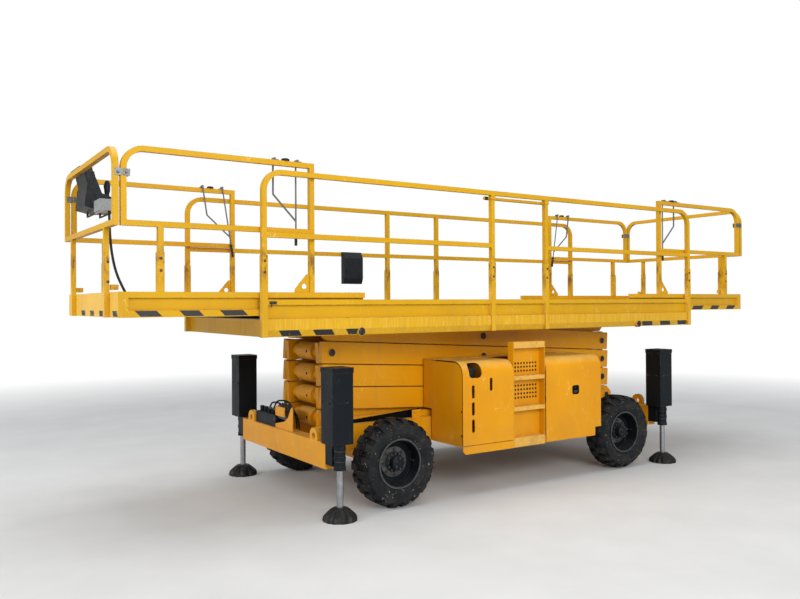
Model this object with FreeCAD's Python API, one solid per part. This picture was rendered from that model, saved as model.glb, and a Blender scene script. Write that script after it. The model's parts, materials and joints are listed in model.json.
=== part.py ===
import FreeCAD, Part
import math
import os

os.makedirs("parts", exist_ok=True)
V = FreeCAD.Vector

# All sizes are millimetres. X runs along the machine towards its rear end, with the control
# box at the other end. Y runs across it, and the ladder side is -Y. Z is up from the ground.
# Like pieces are named by side: near is -Y, far is +Y, left is -X, right is +X.

# Scissor pack. Outer arms run from low at the right to high at the left, inner arms cross them.
STAGES = 4
PIN_PITCH = 207.1
ARM_DEPTH = 197.0
ARM_T = 60.0
ARM_OUTER_FACE = 409.0
ARM_GAP = 6.0
SHAFT_R = 25.0
PIN_CAP_R = 37.0
PIN_CAP_T = 10.0
PIVOT_PLAY = 0.1
SHAFT_PLAY = 0.08
OPEN_PIVOT_PLAY = 0.6
CROSS_TUBE_R = 57.0
TUBE_SETBACK = 486.6
FIRST_TUBE_SETBACK = 386.6
LOW_TUBE_S = -500.0
END_TUBE_R = 87.0
END_TUBE_HALF = 155.0
COLLAR_R = 60.0
END_CUT = 8.0
BASE_CUT = 22.0
FLOOR_CUT = 60.0
ROLLER_R = 20.0
TRACK_PLAY = 0.3
TRACK_WALL = 8.0
TRACK_W = 55.0
TRACK_END = -60.0
SIDE_PLAY = 6.0
OUTER_ARM_Y = (ARM_OUTER_FACE - ARM_T, ARM_OUTER_FACE)
INNER_ARM_Y = (OUTER_ARM_Y[0] - ARM_GAP - ARM_T, OUTER_ARM_Y[0] - ARM_GAP)
TRACK_Y = (ARM_OUTER_FACE + SIDE_PLAY, ARM_OUTER_FACE + SIDE_PLAY + TRACK_W)
TRACK_HALF = ROLLER_R + TRACK_PLAY

# Wheels and axles
TYRE_D = 775.0
TYRE_W = 264.0
HALF_WHEELBASE = 1445.5
TYRE_WALL = 178.0
LUGS = 20
LUG_SHARE = 0.54
LUG_DEPTH = 24.0
SHOULDER_DROP = 44.0
CROWN_SHARE = 0.62
CROWN_DROP = 4.0
GAP_DROP_SHARE = 0.6
SIDEWALL_BELOW_TREAD = 119.5
SIDEWALL_IN = 37.0
BEAD_SIDES = 32
RIM_HALF_SHARE = 0.36
RIM_LIP_ABOVE_BEAD = 11.5
RIM_LIP_T = 9.0
RIM_LIP_EDGE = 5.0
RIM_WALL = 9.0
RIM_SEAT = 0.3
DISC_T = 14.0
DISC_IN = 132.0
HUB_R = 88.0
HUB_H = 52.0
HUB_BACK = 30.0
HUB_DISH = 20.0
HUB_CHAMFER = 10.0
HUB_CAP_R = 62.0
HUB_CAP_OUT = 60.0
CAP_CHAMFER = 12.0
CAP_CROWN = 8.0
KINGPIN_R = 22.0
STUB_R = 45.0
STUB_IN = 30.0
AXLE_BEAM = 120.0
BOSS_HALF_H = 70.0
FORK_HALF_H = 100.0
FORK_T = 25.0
FORK_R = 38.0
FORK_GAP = 30.0
STUB_START = 80.0
BEAD_R = TYRE_D / 2 - TYRE_WALL
SIDEWALL_R = TYRE_D / 2 - SIDEWALL_BELOW_TREAD
RIM_LIP_R = BEAD_R + RIM_LIP_ABOVE_BEAD
RIM_HALF_W = TYRE_W * RIM_HALF_SHARE

# Chassis
RAIL_W = 70.0
RAIL_ABOVE_HUB = 62.5
PIN_ABOVE_RAIL = 262.0
END_OVERHANG = 664.5
PIN_SETBACK = 326.4
END_BEAM_T = 120.0
END_BEAM_BELOW_RAIL = 55.0
END_BEAM_ABOVE_RAIL = 162.0
KINGPIN_OUT = 175.0
TYRE_FACE_OUT = 336.0
BRACKET_R = 85.0
BRACKET_FOOT = 60.0
BRACKET_ABOVE_PIN = 30.0
HANGER_W = 80.0
HANGER_CLEAR = 20.0
PLATE = 5.0
EYE_Y = 680.0
EYE_R = 72.0
EYE_BORE_R = 28.0
EYE_T = 40.0
EYE_ABOVE = 33.0
EYE_SUNK = 20.0
RAIL_Y_IN = TRACK_Y[1]
RAIL_Y_OUT = RAIL_Y_IN + RAIL_W
RAIL_BOTTOM = TYRE_D / 2 + RAIL_ABOVE_HUB
CHASSIS_HALF_L = HALF_WHEELBASE + END_OVERHANG
END_BEAM_Z = (RAIL_BOTTOM - END_BEAM_BELOW_RAIL, RAIL_BOTTOM + END_BEAM_ABOVE_RAIL)
KINGPIN_Y = RAIL_Y_OUT + KINGPIN_OUT
TYRE_FACE_Y = KINGPIN_Y + TYRE_FACE_OUT
TYRE_Y = TYRE_FACE_Y - TYRE_W / 2
HUB_BACK_Y = TYRE_Y + RIM_HALF_W - DISC_IN - HUB_BACK
PIN_X = CHASSIS_HALF_L - PIN_SETBACK
PIN_Z = RAIL_BOTTOM + PIN_ABOVE_RAIL
TOP_PIN_Z = PIN_Z + STAGES * PIN_PITCH
RAIL_TOP_Z = PIN_Z - TRACK_HALF - TRACK_WALL
HALF_ARM = math.hypot(2 * PIN_X, PIN_PITCH) / 2
ARM_ANGLE = math.degrees(math.atan2(PIN_PITCH, 2 * PIN_X))

# Outriggers
LEG_SETBACK = 57.0
LEG_IN = 10.0
LEG_ROD_R = 28.0
LEG_PLAY = 0.3
LEG_HOUSING_ABOVE_BEAM_FOOT = 14.0
LEG_HOUSING_ABOVE_BEAM = 8.0
LEG_HOUSING_R = 47.0
LEG_RING_H = 30.0
LEG_RING_R = 51.0
LEG_RING_SHARES = (0.0, 0.38, 0.76)
LEG_BRACKET_X = 57.0
LEG_COVER_W = 196.0
LEG_COVER_IN = 41.0
LEG_LID_H = 42.0
LEG_LID_OUT = 4.0
LEG_COVER_H = 632.0
BEAM_SHORT = 146.0
FOOT_R = 146.0
FOOT_TOP_R = 62.0
FOOT_H = 104.0
FOOT_EDGE_H = 34.0
FOOT_SOCKET = 24.0
ROD_IN_COVER = 180.0
LEG_X = CHASSIS_HALF_L - LEG_SETBACK
LEG_Y = TYRE_FACE_Y - LEG_IN
LEG_HOUSING_Z = (END_BEAM_Z[0] + LEG_HOUSING_ABOVE_BEAM_FOOT, END_BEAM_Z[1] + LEG_HOUSING_ABOVE_BEAM)
LEG_COVER_Z = (LEG_HOUSING_Z[1] + LEG_PLAY, LEG_HOUSING_Z[1] + LEG_PLAY + LEG_COVER_H)

# Lift cylinder, between the inner arms
CYL_FOOT_S = 150.0
CYL_FOOT_DROP = 50.0
CYL_EYE_SETBACK = 336.6
CYL_NECK_W = 80.0
CYL_BARREL_R = 72.0
CYL_BARREL_L = 1230.0
CYL_ROD_R = 40.0
CYL_ROD_IN_BARREL = 900.0
CYL_EYE_R = 62.0
CYL_EYE_W = 90.0
CYL_PIN_R = 27.0
CYL_EYE_S = -(HALF_ARM - CYL_EYE_SETBACK)

# Side boxes
BOX_LEFT_GAP = 286.0
BOX_RIGHT_GAP = 3.0
BOX_NOTCH_X = 88.0
BOX_NOTCH_H = 100.0
BOX_SHELF_ABOVE_RAIL = 78.0
BOX_SHELF_Y_GAP = 21.0
BOX_H = 847.0
BOX_BELOW_RAIL = 62.0
BOX_CURVE_R = 125.0
BOX_LIP_H = 73.0
BOX_LIP_CUT = 30.0
BOX_IN_FROM_TYRE = 1.0
BOX_FROM_RAIL = 20.0
LOW_HOOD_ABOVE = 12.0
HINGE_SETBACK = 60.0
HINGE_PIN_R = 4.0
HINGE_R = 8.0
HINGE_LEAF_SHARE = 0.06
HINGE_INSET_SHARE = 0.12
HOOD_T = 5.0
SEAM = 5.0
BOX_X = (-(HALF_WHEELBASE - TYRE_D / 2 - BOX_LEFT_GAP), HALF_WHEELBASE - TYRE_D / 2 - BOX_RIGHT_GAP)
BOX_FACE_Y = TYRE_FACE_Y - BOX_IN_FROM_TYRE
BOX_INNER_Y = RAIL_Y_OUT + BOX_FROM_RAIL
BOX_BOTTOM = RAIL_BOTTOM - BOX_BELOW_RAIL
BOX_TOP = BOX_BOTTOM + BOX_H
BOX_SEAM_Z = BOX_BOTTOM + BOX_LIP_H
HINGE_Y = BOX_INNER_Y + HINGE_SETBACK

# Engine and tank blocks in the boxes
BOX_SIDE_SPACE = 60.0
ENGINE_SHARE = 0.81
TANK_SHARE = 0.6

# Ladder, in the near side box
LADDER_X = 58.5
LADDER_INNER_W = 400.0
LADDER_CHEEK = 8.0
LADDER_DEPTH = 85.0
LADDER_SETBACK = 8.0
HOLE_PITCH = 38.5
HOLE_R = 12.0
HOLE_COLUMNS = 8
HOLE_FROM_MIDDLE = 115.5
HOLE_ROW_HEIGHTS = (799.0, 762.0, 724.0, 581.0, 542.0, 502.0, 463.0)
STEP_HEIGHTS = (89.0, 386.0, 682.0)
STEP_FRONT_H = 40.0
TOP_STEP_ABOVE = 103.0
TOP_STEP_H = 60.0
BAY_PLAY = 0.5
REST_MARGIN = 40.0
STEP_TOPS = tuple(BOX_BOTTOM + height for height in STEP_HEIGHTS)
TOP_STEP_Z = (BOX_TOP + TOP_STEP_ABOVE, BOX_TOP + TOP_STEP_ABOVE + TOP_STEP_H)
LADDER_INNER_X = (LADDER_X - LADDER_INNER_W / 2, LADDER_X + LADDER_INNER_W / 2)
CHEEK_X = (LADDER_INNER_X[0] - LADDER_CHEEK, LADDER_INNER_X[1] + LADDER_CHEEK)

# Main platform
DECK_HALF_L = 2697.0
RAIL_TUBE = 42.0
FLOOR_T = 6.0
TOE_BEAD = 43.0
SOCKET = 52.0
BEND_R = 150.0
FLOOR_ABOVE_PIN = 118.6
CROSS_SETOFF = 316.4
CROSS_T = 12.0
END_CROSS_IN = 57.0
TRACK_SHORT = 97.0
BRACKET_W = 50.0
BRACKET_H = 70.0
FLANGE_W = 60.0
FLANGE_T = 8.0
PAD_L = 80.0
PAD_SETS = (70.0, 137.0)
PAD_NARROW = 10.0
TOE_ABOVE_FLOOR = 154.0
SOCKET_ABOVE_FLOOR = 507.0
MID_RAIL_ABOVE_FLOOR = 691.0
RAIL_ABOVE_FLOOR = 1194.0
RAIL_FACE_OUT = 483.0
NEAR_POSTS = (-316.0, 387.0)
FAR_POSTS = (-316.0, 387.0)
DECK_BOTTOM = TOP_PIN_Z - TRACK_HALF - TRACK_WALL
FLOOR_TOP = TOP_PIN_Z + FLOOR_ABOVE_PIN
TOE_TOP = FLOOR_TOP + TOE_ABOVE_FLOOR
SOCKET_TOP = FLOOR_TOP + SOCKET_ABOVE_FLOOR
MID_RAIL_TOP = FLOOR_TOP + MID_RAIL_ABOVE_FLOOR
RAIL_TOP = FLOOR_TOP + RAIL_ABOVE_FLOOR
RAIL_FACE_Y = RAIL_Y_IN + RAIL_FACE_OUT
SILL_BAND_H = 91.0
SILL_OUT = 34.0

# Sliding platform extensions
EXT_WEB_IN = 30.0
EXT_BAND_H = 52.0
GUSSET_L = 130.0
GUSSET_H = 148.0
EXT_REACH = 1078.0
EXT_OVERLAP = 977.0
EXT_BEAM_T = 40.0
EXT_IN = 52.0
EXT_ABOVE_FLOOR = 25.5
EXT_BEAM_H = 188.5
EXT_TOP_BAND_H = 45.0
EXT_END_BLOCK_L = 70.0
EXT_FLOOR_SETUP = 5.5
EXT_FLOOR_T = 8.0
EXT_REAR_BAR = 40.0
EXT_RAIL_ABOVE_FLOOR = 1280.0
EXT_MID_ABOVE_FLOOR = 734.0
EXT_LEG_IN = 305.0
EXT_POST_IN = 472.0
EXT_CORNER_IN = 18.0
RAIL_SEAT = 0.3
GUSSET_T = 8.0
GUSSET_EDGE = 25.0
GUSSET_HOLE_R = 22.0
GUSSET_HOLE_OUT = 45.0
GUSSET_HOLE_UP = 50.0
END_HOOP_IN = 5.0
END_LEG_Y = 610.0
EXT_FACE_Y = RAIL_FACE_Y - EXT_IN
EXT_END_X = DECK_HALF_L + EXT_REACH
EXT_INNER_X = DECK_HALF_L - EXT_OVERLAP
EXT_BEAM_Z = (FLOOR_TOP + EXT_ABOVE_FLOOR, FLOOR_TOP + EXT_ABOVE_FLOOR + EXT_BEAM_H)
EXT_FLOOR_Z = (EXT_BEAM_Z[0] + EXT_FLOOR_SETUP, EXT_BEAM_Z[0] + EXT_FLOOR_SETUP + EXT_FLOOR_T)
EXT_RAIL_TOP = FLOOR_TOP + EXT_RAIL_ABOVE_FLOOR
EXT_MID_TOP = FLOOR_TOP + EXT_MID_ABOVE_FLOOR
EXT_LEG_X = EXT_END_X - EXT_LEG_IN
EXT_POST_X = DECK_HALF_L - EXT_POST_IN
EXT_CORNER_X = EXT_END_X - EXT_CORNER_IN

# Gate bar
GATE_BELOW_RAIL = 68.0
GATE_R = 16.0
GATE_OVERHANG = 60.0
GATE_STANDOFF = 6.0
COLLAR_WALL = 7.0
COLLAR_H = 30.0
COLLAR_PLAY = 0.3
GATE_Z = RAIL_TOP - GATE_BELOW_RAIL

# Handles on the extensions' top rails
LEVER_R = 7.0
LEVER_PIVOT_R = 10.0
LEVER_SETBACK = 9.0
LEVER_KNEE = 270.0
LEVER_JOIN = 480.0
LEVER_LENGTH = 680.0
LEVER_IN = 353.0
LEVER_SPACING = 203.0
LEVER_SADDLE_W = 50.0
FAR_LEVER_LEAN = 110.0
GRIP_R = 12.0
GRIP_COLLAR_R = 17.0
GRIP_L = 95.0
LEVER_X = (DECK_HALF_L - LEVER_IN, DECK_HALF_L - LEVER_IN + LEVER_SPACING)

# Valve block on the left end beam
VALVE_Y = (150.0, 600.0)
VALVE_SETBACK = 20.0
VALVE_FROM_BACK = 5.0
VALVE_H = 110.0
VALVE_COILS = 5
COIL_R = 22.0
COIL_H = 50.0

# Console on the left end rails. Its side outline is X from the rail and Z above its low edge.
CONTROL_Y = (250.0, 640.0)
CONTROL_DROP = 359.0
CONTROL_OUTLINE = ((0.0, 60.0), (30.0, 280.0), (90.0, 280.0), (140.0, 150.0), (250.0, 110.0), (250.0, 10.0),
                   (130.0, 0.0), (0.0, 30.0))
STICK_X = 205.0
STICK_OFF_MIDDLE = 90.0
STICK_R = 10.0
STICK_GRIP_R = 19.0
STICK_LEAN = 12.0
STICK_Z = (90.0, 140.0, 150.0, 235.0)
SIDE_BOX_X = (70.0, 210.0)
SIDE_BOX_W = 230.0
SIDE_BOX_Z = (-20.0, 75.0)
SHELF_BAR_X = (80.0, 185.0)
SHELF_BAR_T = 12.0
SHELF_END_IN = 60.0
SHELF_UPRIGHT_W = 30.0
SHELF_UPRIGHT_H = 52.0
HOOK_T = 8.0
HOOK_TOP_T = 6.0
HOOK_X = (30.0, 60.0, 90.0)
HOOK_FOOT_Z = 220.0
CONTROL_LOW_Z = EXT_RAIL_TOP - CONTROL_DROP

# Document box on the far side's middle rail. Its side outline is Y inward and Z below the rail's top.
DOC_X = (-940.0, -700.0)
DOC_OUTLINE = ((45.0, 350.0), (0.0, 350.0), (0.0, 0.0), (-46.0, 0.0), (-46.0, -4.0), (30.0, -4.0),
               (70.0, 60.0), (70.0, 290.0))

# Names of the sides and ends
SIDES = {"near": -1, "far": 1}
ENDS = {"left": -1, "right": 1}


def box(x, y, z):
    """A block from three (low, high) pairs."""
    return Part.makeBox(x[1] - x[0], y[1] - y[0], z[1] - z[0], V(x[0], y[0], z[0]))


def rod(radius, start, end):
    """A round bar from one centre to another."""
    run = V(*end) - V(*start)
    return Part.makeCylinder(radius, run.Length, V(*start), run)


def fuse(shapes):
    first = shapes[0]
    return first.multiFuse(shapes[1:]).removeSplitter() if len(shapes) > 1 else first


def mirrored_y(shape):
    return shape.mirror(V(0, 0, 0), V(0, 1, 0))


def mirrored_x(shape):
    return shape.mirror(V(0, 0, 0), V(1, 0, 0))


def both_sides(shape):
    return [shape, mirrored_y(shape)]


def extruded(points, direction):
    """A closed flat outline pushed along a direction."""
    wire = Part.makePolygon([V(*p) for p in points + [points[0]]])
    return Part.Face(wire).extrude(V(*direction))


def bent_tube(points, size, bend, flat_normal):
    """A square tube along straight runs in one plane, with round bends at its inner points."""
    spots = [V(*p) for p in points]
    edges = []
    start = spots[0]
    for before, corner, after in zip(spots, spots[1:], spots[2:]):
        into = (corner - before).normalize()
        out = (after - corner).normalize()
        turn = into.getAngle(out)
        reach = bend * math.tan(turn / 2)
        arc_start = corner - into * reach
        arc_end = corner + out * reach
        middle = (out - into).normalize()
        arc_mid = corner + middle * (bend / math.cos(turn / 2) - bend)
        edges.append(Part.LineSegment(start, arc_start).toShape())
        edges.append(Part.Arc(arc_start, arc_mid, arc_end).toShape())
        start = arc_end
    edges.append(Part.LineSegment(start, spots[-1]).toShape())
    along = (spots[1] - spots[0]).normalize()
    across = V(*flat_normal)
    up = along.cross(across)
    half = size / 2
    quarters = ((1, 1), (-1, 1), (-1, -1), (1, -1))
    corners = [spots[0] + across * (a * half) + up * (b * half) for a, b in quarters]
    section = Part.makePolygon(corners + [corners[0]])
    pipe = Part.BRepOffsetAPI.MakePipeShell(Part.Wire(edges))
    pipe.setBiNormalMode(across)
    pipe.add(section, False, False)
    pipe.build()
    pipe.makeSolid()
    return pipe.shape()


def save(name, shapes):
    """Write one node: a single solid, or several that don't touch."""
    shape = shapes if isinstance(shapes, Part.Shape) else Part.makeCompound(shapes)
    solids = shape.Solids
    whole = solids[0] if len(solids) == 1 else Part.makeCompound(solids)
    whole.exportStep("parts/" + name + ".step")
    litres = round(sum(s.Volume for s in solids) / 1e6, 2)
    print(name, len(solids), litres, all(s.isValid() for s in solids))


def ring_points(radii, across, turn):
    """Corners of a closed polygon round the Y axis, one radius to a corner."""
    step = 2 * math.pi / len(radii)
    angles = [turn + i * step for i in range(len(radii))]
    return [V(r * math.cos(a), across, r * math.sin(a)) for r, a in zip(radii, angles)]


def flat_face(points):
    return Part.Face(Part.makePolygon(points + [points[0]]))


def stacked(rings):
    """A solid between polygons with the same number of corners, with flat sides and flat ends."""
    faces = [flat_face(rings[0]), flat_face(rings[-1])]
    for low, high in zip(rings, rings[1:]):
        for i in range(len(low)):
            j = (i + 1) % len(low)
            faces.append(flat_face([low[i], low[j], high[j], high[i]]))
    solid = Part.Solid(Part.makeShell(faces))
    if solid.Volume < 0:
        solid.reverse()
    return solid


def lug_ring(across, lug_r, gap_r, turn):
    """Corners of the tread at one place across it: two on each lug's top, two on the gap's floor."""
    pitch = 2 * math.pi / LUGS
    half = pitch * LUG_SHARE / 2
    points = []
    for i in range(LUGS):
        middle = turn + i * pitch
        low, high = middle - half, middle + half
        spots = ((low, gap_r), (low, lug_r), (high, lug_r), (high, gap_r))
        points += [V(r * math.cos(a), across, r * math.sin(a)) for a, r in spots]
    return points


def make_tyre():
    """A tyre at the origin, its axle along Y, with two staggered rows of lugs over its shoulders."""
    half = TYRE_W / 2
    outer = TYRE_D / 2
    bead = BEAD_R / math.cos(math.pi / BEAD_SIDES)
    across = ((0, 0), (CROWN_SHARE * half, CROWN_DROP), (half, SHOULDER_DROP))
    pieces = []
    for side, turn in ((1, 0.0), (-1, math.pi / LUGS)):
        rings = []
        for t, drop in across:
            gap_r = outer - LUG_DEPTH - drop * GAP_DROP_SHARE
            rings.append(lug_ring(side * t, outer - drop, gap_r, turn))
        pieces.append(stacked(rings))
    whole = pieces[0].fuse(pieces[1])
    for side in (1, -1):
        bevel = [ring_points([bead] * BEAD_SIDES, side * (half - SIDEWALL_IN), 0),
                 ring_points([SIDEWALL_R] * BEAD_SIDES, side * half, 0),
                 ring_points([SIDEWALL_R] * BEAD_SIDES, side * (half + 5), 0)]
        whole = whole.cut(stacked(bevel))
    bore = [ring_points([bead] * BEAD_SIDES, t, 0) for t in (-half, half)]
    return whole.cut(stacked(bore)).removeSplitter()


TYRE = make_tyre()


def tyre(centre_x, side):
    return TYRE.translated(V(centre_x, side * TYRE_Y, TYRE_D / 2))


def rim(centre_x, side):
    """A deep rim: barrel with lips, dished disc, hub and its round cap, outside towards +Y."""
    half = RIM_HALF_W
    disc = half - DISC_IN
    hub_top = disc + HUB_H
    cap_foot = hub_top + HUB_CHAMFER
    cap_edge = cap_foot + HUB_CAP_OUT
    cap_top = cap_edge + CAP_CROWN
    hub_low = disc - HUB_BACK
    lip = half + RIM_LIP_T + RIM_LIP_EDGE
    seat = BEAD_R - RIM_SEAT
    inner = BEAD_R - RIM_WALL
    outline = [(seat, -half), (seat, half + RIM_SEAT), (RIM_LIP_R, half + RIM_LIP_T), (RIM_LIP_R, lip),
               (inner, lip), (inner, disc + DISC_T), (HUB_R, disc + DISC_T), (HUB_R, hub_top),
               (HUB_CAP_R, cap_foot), (HUB_CAP_R, cap_edge), (HUB_CAP_R - CAP_CHAMFER, cap_top), (0, cap_top),
               (0, hub_low), (HUB_R - HUB_DISH, hub_low), (HUB_R, disc), (inner, disc), (inner, -half)]
    wire = Part.makePolygon([V(r, t, 0) for r, t in outline + [outline[0]]])
    turned = Part.Face(wire).revolve(V(0, 0, 0), V(0, 1, 0), 360)
    turned = turned.cut(rod(STUB_R + SHAFT_PLAY, (0, hub_low - 1, 0), (0, hub_low + STUB_IN, 0)))
    if side < 0:
        turned = mirrored_y(turned)
    return turned.translated(V(centre_x, side * TYRE_Y, TYRE_D / 2))


# Chassis cross members: share of the half wheelbase, width, height
CROSS_MEMBERS = ((-1.0, 220.0, 130.0), (-0.48, 90.0, 110.0), (0.0, 90.0, 110.0), (0.48, 90.0, 110.0),
                 (1.0, 220.0, 130.0))
BOX_HANGER_SETS = 240.0


def chassis_frame():
    """Side rails with the arms' low tracks and pin brackets, cross members and the boxes' hangers."""
    pieces = []
    length = (-(CHASSIS_HALF_L - END_BEAM_T), CHASSIS_HALF_L - END_BEAM_T)
    rail = box(length, (RAIL_Y_IN, RAIL_Y_OUT), (RAIL_BOTTOM, RAIL_TOP_Z))
    track_x = (-(PIN_X + 3 * ROLLER_R), TRACK_END)
    track_z = (RAIL_TOP_Z, PIN_Z + TRACK_HALF + TRACK_WALL)
    groove_z = (PIN_Z - TRACK_HALF, PIN_Z + TRACK_HALF)
    track = box(track_x, TRACK_Y, track_z)
    track = track.fuse(box(track_x, (RAIL_Y_IN, RAIL_Y_IN + TRACK_WALL), track_z))
    track = track.cut(box((track_x[0] - 1, track_x[1] + 1), (TRACK_Y[0] - 1, RAIL_Y_IN), groove_z))
    bracket_z = (RAIL_BOTTOM + BRACKET_FOOT, PIN_Z + BRACKET_ABOVE_PIN)
    bracket = box((PIN_X - BRACKET_R, PIN_X + BRACKET_R), TRACK_Y, bracket_z)
    bracket = bracket.fuse(rod(BRACKET_R, (PIN_X, TRACK_Y[0], PIN_Z), (PIN_X, TRACK_Y[1], PIN_Z)))
    bracket = bracket.cut(rod(SHAFT_R + PIVOT_PLAY, (PIN_X, 0, PIN_Z), (PIN_X, RAIL_Y_IN + 50, PIN_Z)))
    cap = rod(PIN_CAP_R, (PIN_X, RAIL_Y_IN, PIN_Z), (PIN_X, RAIL_Y_IN + PIN_CAP_T, PIN_Z))
    pieces += both_sides(rail) + both_sides(track) + both_sides(bracket) + both_sides(cap)
    for share, width, height in CROSS_MEMBERS:
        x = share * HALF_WHEELBASE
        member_x = (x - width / 2, x + width / 2)
        pieces.append(box(member_x, (-RAIL_Y_IN, RAIL_Y_IN), (RAIL_BOTTOM, RAIL_BOTTOM + height)))
    hanger_z = (RAIL_BOTTOM + HANGER_CLEAR, RAIL_TOP_Z - HANGER_CLEAR)
    for x in (BOX_X[0] + BOX_HANGER_SETS, BOX_X[1] - BOX_HANGER_SETS):
        hanger = box((x - HANGER_W / 2, x + HANGER_W / 2), (RAIL_Y_OUT, BOX_INNER_Y), hanger_z)
        pieces += both_sides(hanger)
    return fuse(pieces)


def end_beam(end):
    """Cross beam at an end of the chassis, between its two outrigger housings, with two lashing eyes."""
    x = (CHASSIS_HALF_L - END_BEAM_T, CHASSIS_HALF_L)
    reach = LEG_Y - BEAM_SHORT
    beam = box(x, (-reach, reach), END_BEAM_Z)
    eye_z = END_BEAM_Z[1] + EYE_ABOVE
    eye_x = (x[1] - EYE_T, x[1])
    for y in (-EYE_Y, EYE_Y):
        plate = box(eye_x, (y - EYE_R, y + EYE_R), (END_BEAM_Z[1] - EYE_SUNK, eye_z))
        plate = plate.fuse(rod(EYE_R, (eye_x[0], y, eye_z), (eye_x[1], y, eye_z)))
        beam = beam.fuse(plate.cut(rod(EYE_BORE_R, (eye_x[0] - 1, y, eye_z), (eye_x[1] + 1, y, eye_z))))
    beam = beam.removeSplitter()
    return beam if end > 0 else mirrored_x(beam)


def outrigger_housing(end, side):
    """Ringed cylinder round the leg, open below for it, on a bracket bolted to the end beam."""
    z0, z1 = LEG_HOUSING_Z
    body = rod(LEG_HOUSING_R, (0, 0, z0), (0, 0, z1))
    rings = [z0 + (z1 - z0) * share for share in LEG_RING_SHARES]
    pieces = [body] + [rod(LEG_RING_R, (0, 0, z), (0, 0, z + LEG_RING_H)) for z in rings]
    pieces.append(box((-LEG_BRACKET_X, LEG_BRACKET_X), (-BEAM_SHORT, -LEG_ROD_R - 5), (z0 + LEG_RING_H, z1)))
    body = fuse(pieces).cut(rod(LEG_ROD_R + LEG_PLAY, (0, 0, z0 - 1), (0, 0, z1 + 1))).removeSplitter()
    body = body if side > 0 else mirrored_y(body)
    return body.translated(V(end * LEG_X, side * LEG_Y, 0))


def outrigger_cover(end, side):
    """Square cover with a lid over a leg, hollow for the rod that draws up into it."""
    z0, z1 = LEG_COVER_Z
    half = LEG_COVER_W / 2
    lid = half + LEG_LID_OUT
    middle = -LEG_COVER_IN
    shell = box((-half, half), (middle - half, middle + half), (z0, z1 - 1))
    shell = shell.fuse(box((-lid, lid), (middle - lid, middle + lid), (z1 - LEG_LID_H, z1))).removeSplitter()
    shell = shell.cut(rod(LEG_ROD_R + 6, (0, 0, z0 - 1), (0, 0, z1 - 60)))
    shell = shell if side > 0 else mirrored_y(shell)
    return shell.translated(V(end * LEG_X, side * LEG_Y, 0))


def leg_rod(end, side):
    foot = (end * LEG_X, side * LEG_Y, FOOT_H - FOOT_SOCKET)
    return rod(LEG_ROD_R, foot, (foot[0], foot[1], LEG_COVER_Z[0] + ROD_IN_COVER))


def leg_foot(end, side):
    """Conical rubber-faced foot under a leg."""
    x = end * LEG_X
    y = side * LEG_Y
    outline = [(0, 0), (FOOT_R, 0), (FOOT_R, FOOT_EDGE_H), (FOOT_TOP_R, FOOT_H), (0, FOOT_H)]
    wire = Part.makePolygon([V(r, 0, z) for r, z in outline + [outline[0]]])
    foot = Part.Face(wire).revolve(V(0, 0, 0), V(0, 0, 1), 360).translated(V(x, y, 0))
    return foot.cut(rod(LEG_ROD_R, (x, y, FOOT_H - FOOT_SOCKET), (x, y, FOOT_H + 1)))


def steer_axle():
    """Fixed beam under the rails with a round boss at each end for the kingpin."""
    z = TYRE_D / 2
    half = AXLE_BEAM / 2
    beam = box((-half, half), (-KINGPIN_Y, KINGPIN_Y), (RAIL_BOTTOM - AXLE_BEAM, RAIL_BOTTOM))
    for side in SIDES.values():
        y = side * KINGPIN_Y
        beam = beam.fuse(rod(half, (0, y, z - BOSS_HALF_H), (0, y, z + BOSS_HALF_H)))
        beam = beam.cut(rod(KINGPIN_R + PIVOT_PLAY, (0, y, z - FORK_HALF_H), (0, y, z + FORK_HALF_H)))
    return beam.removeSplitter().translated(V(-HALF_WHEELBASE, 0, 0))


def drive_axle():
    """Rigid axle at the rear end, with a stub for each wheel."""
    z = TYRE_D / 2
    half = AXLE_BEAM / 2
    beam = box((-half, half), (-KINGPIN_Y, KINGPIN_Y), (RAIL_BOTTOM - AXLE_BEAM, RAIL_BOTTOM))
    pieces = [beam]
    for side in SIDES.values():
        pieces.append(rod(half, (0, side * (KINGPIN_Y - STUB_START), z), (0, side * (HUB_BACK_Y - 12), z)))
        pieces.append(rod(STUB_R, (0, side * KINGPIN_Y, z), (0, side * (HUB_BACK_Y + STUB_IN - RIM_SEAT), z)))
    return fuse(pieces).translated(V(HALF_WHEELBASE, 0, 0))


def knuckle(side):
    """Fork over the axle's boss, its kingpin, and the stub that carries the wheel."""
    z = TYRE_D / 2
    y = KINGPIN_Y
    half = AXLE_BEAM / 2
    pieces = [rod(KINGPIN_R, (0, y, z - FORK_HALF_H), (0, y, z + FORK_HALF_H))]
    for low in (z - FORK_HALF_H, z + FORK_HALF_H - FORK_T):
        pieces.append(rod(FORK_R, (0, y, low), (0, y, low + FORK_T)))
        pieces.append(box((-FORK_R, FORK_R), (y, y + half + FORK_GAP), (low, low + FORK_T)))
    web_y = (y + half + SIDE_PLAY, y + half + FORK_GAP)
    pieces.append(box((-STUB_R, STUB_R), web_y, (z - FORK_HALF_H, z + FORK_HALF_H)))
    pieces.append(rod(STUB_R, (0, web_y[1] - 10, z), (0, HUB_BACK_Y + STUB_IN - RIM_SEAT, z)))
    whole = fuse(pieces).translated(V(-HALF_WHEELBASE, 0, 0))
    return whole if side > 0 else mirrored_y(whole)


def arm_beams(y_pair, left_cut, right_cut):
    """Two level beams with cut corners at their ends, centred on the origin along X."""
    half = ARM_DEPTH / 2
    reach = HALF_ARM + half
    outline = [(-reach, half - left_cut), (-reach + left_cut, half)]
    outline += [(reach - right_cut, half), (reach, half - right_cut)]
    outline += [(x, -z) for x, z in reversed(outline)]
    beam = extruded([(x, y_pair[0], z) for x, z in outline], (0, y_pair[1] - y_pair[0], 0))
    return both_sides(beam)


def cross_bar(radius, s, reach, n=0.0):
    return rod(radius, (s, -reach, n), (s, reach, n))


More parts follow.
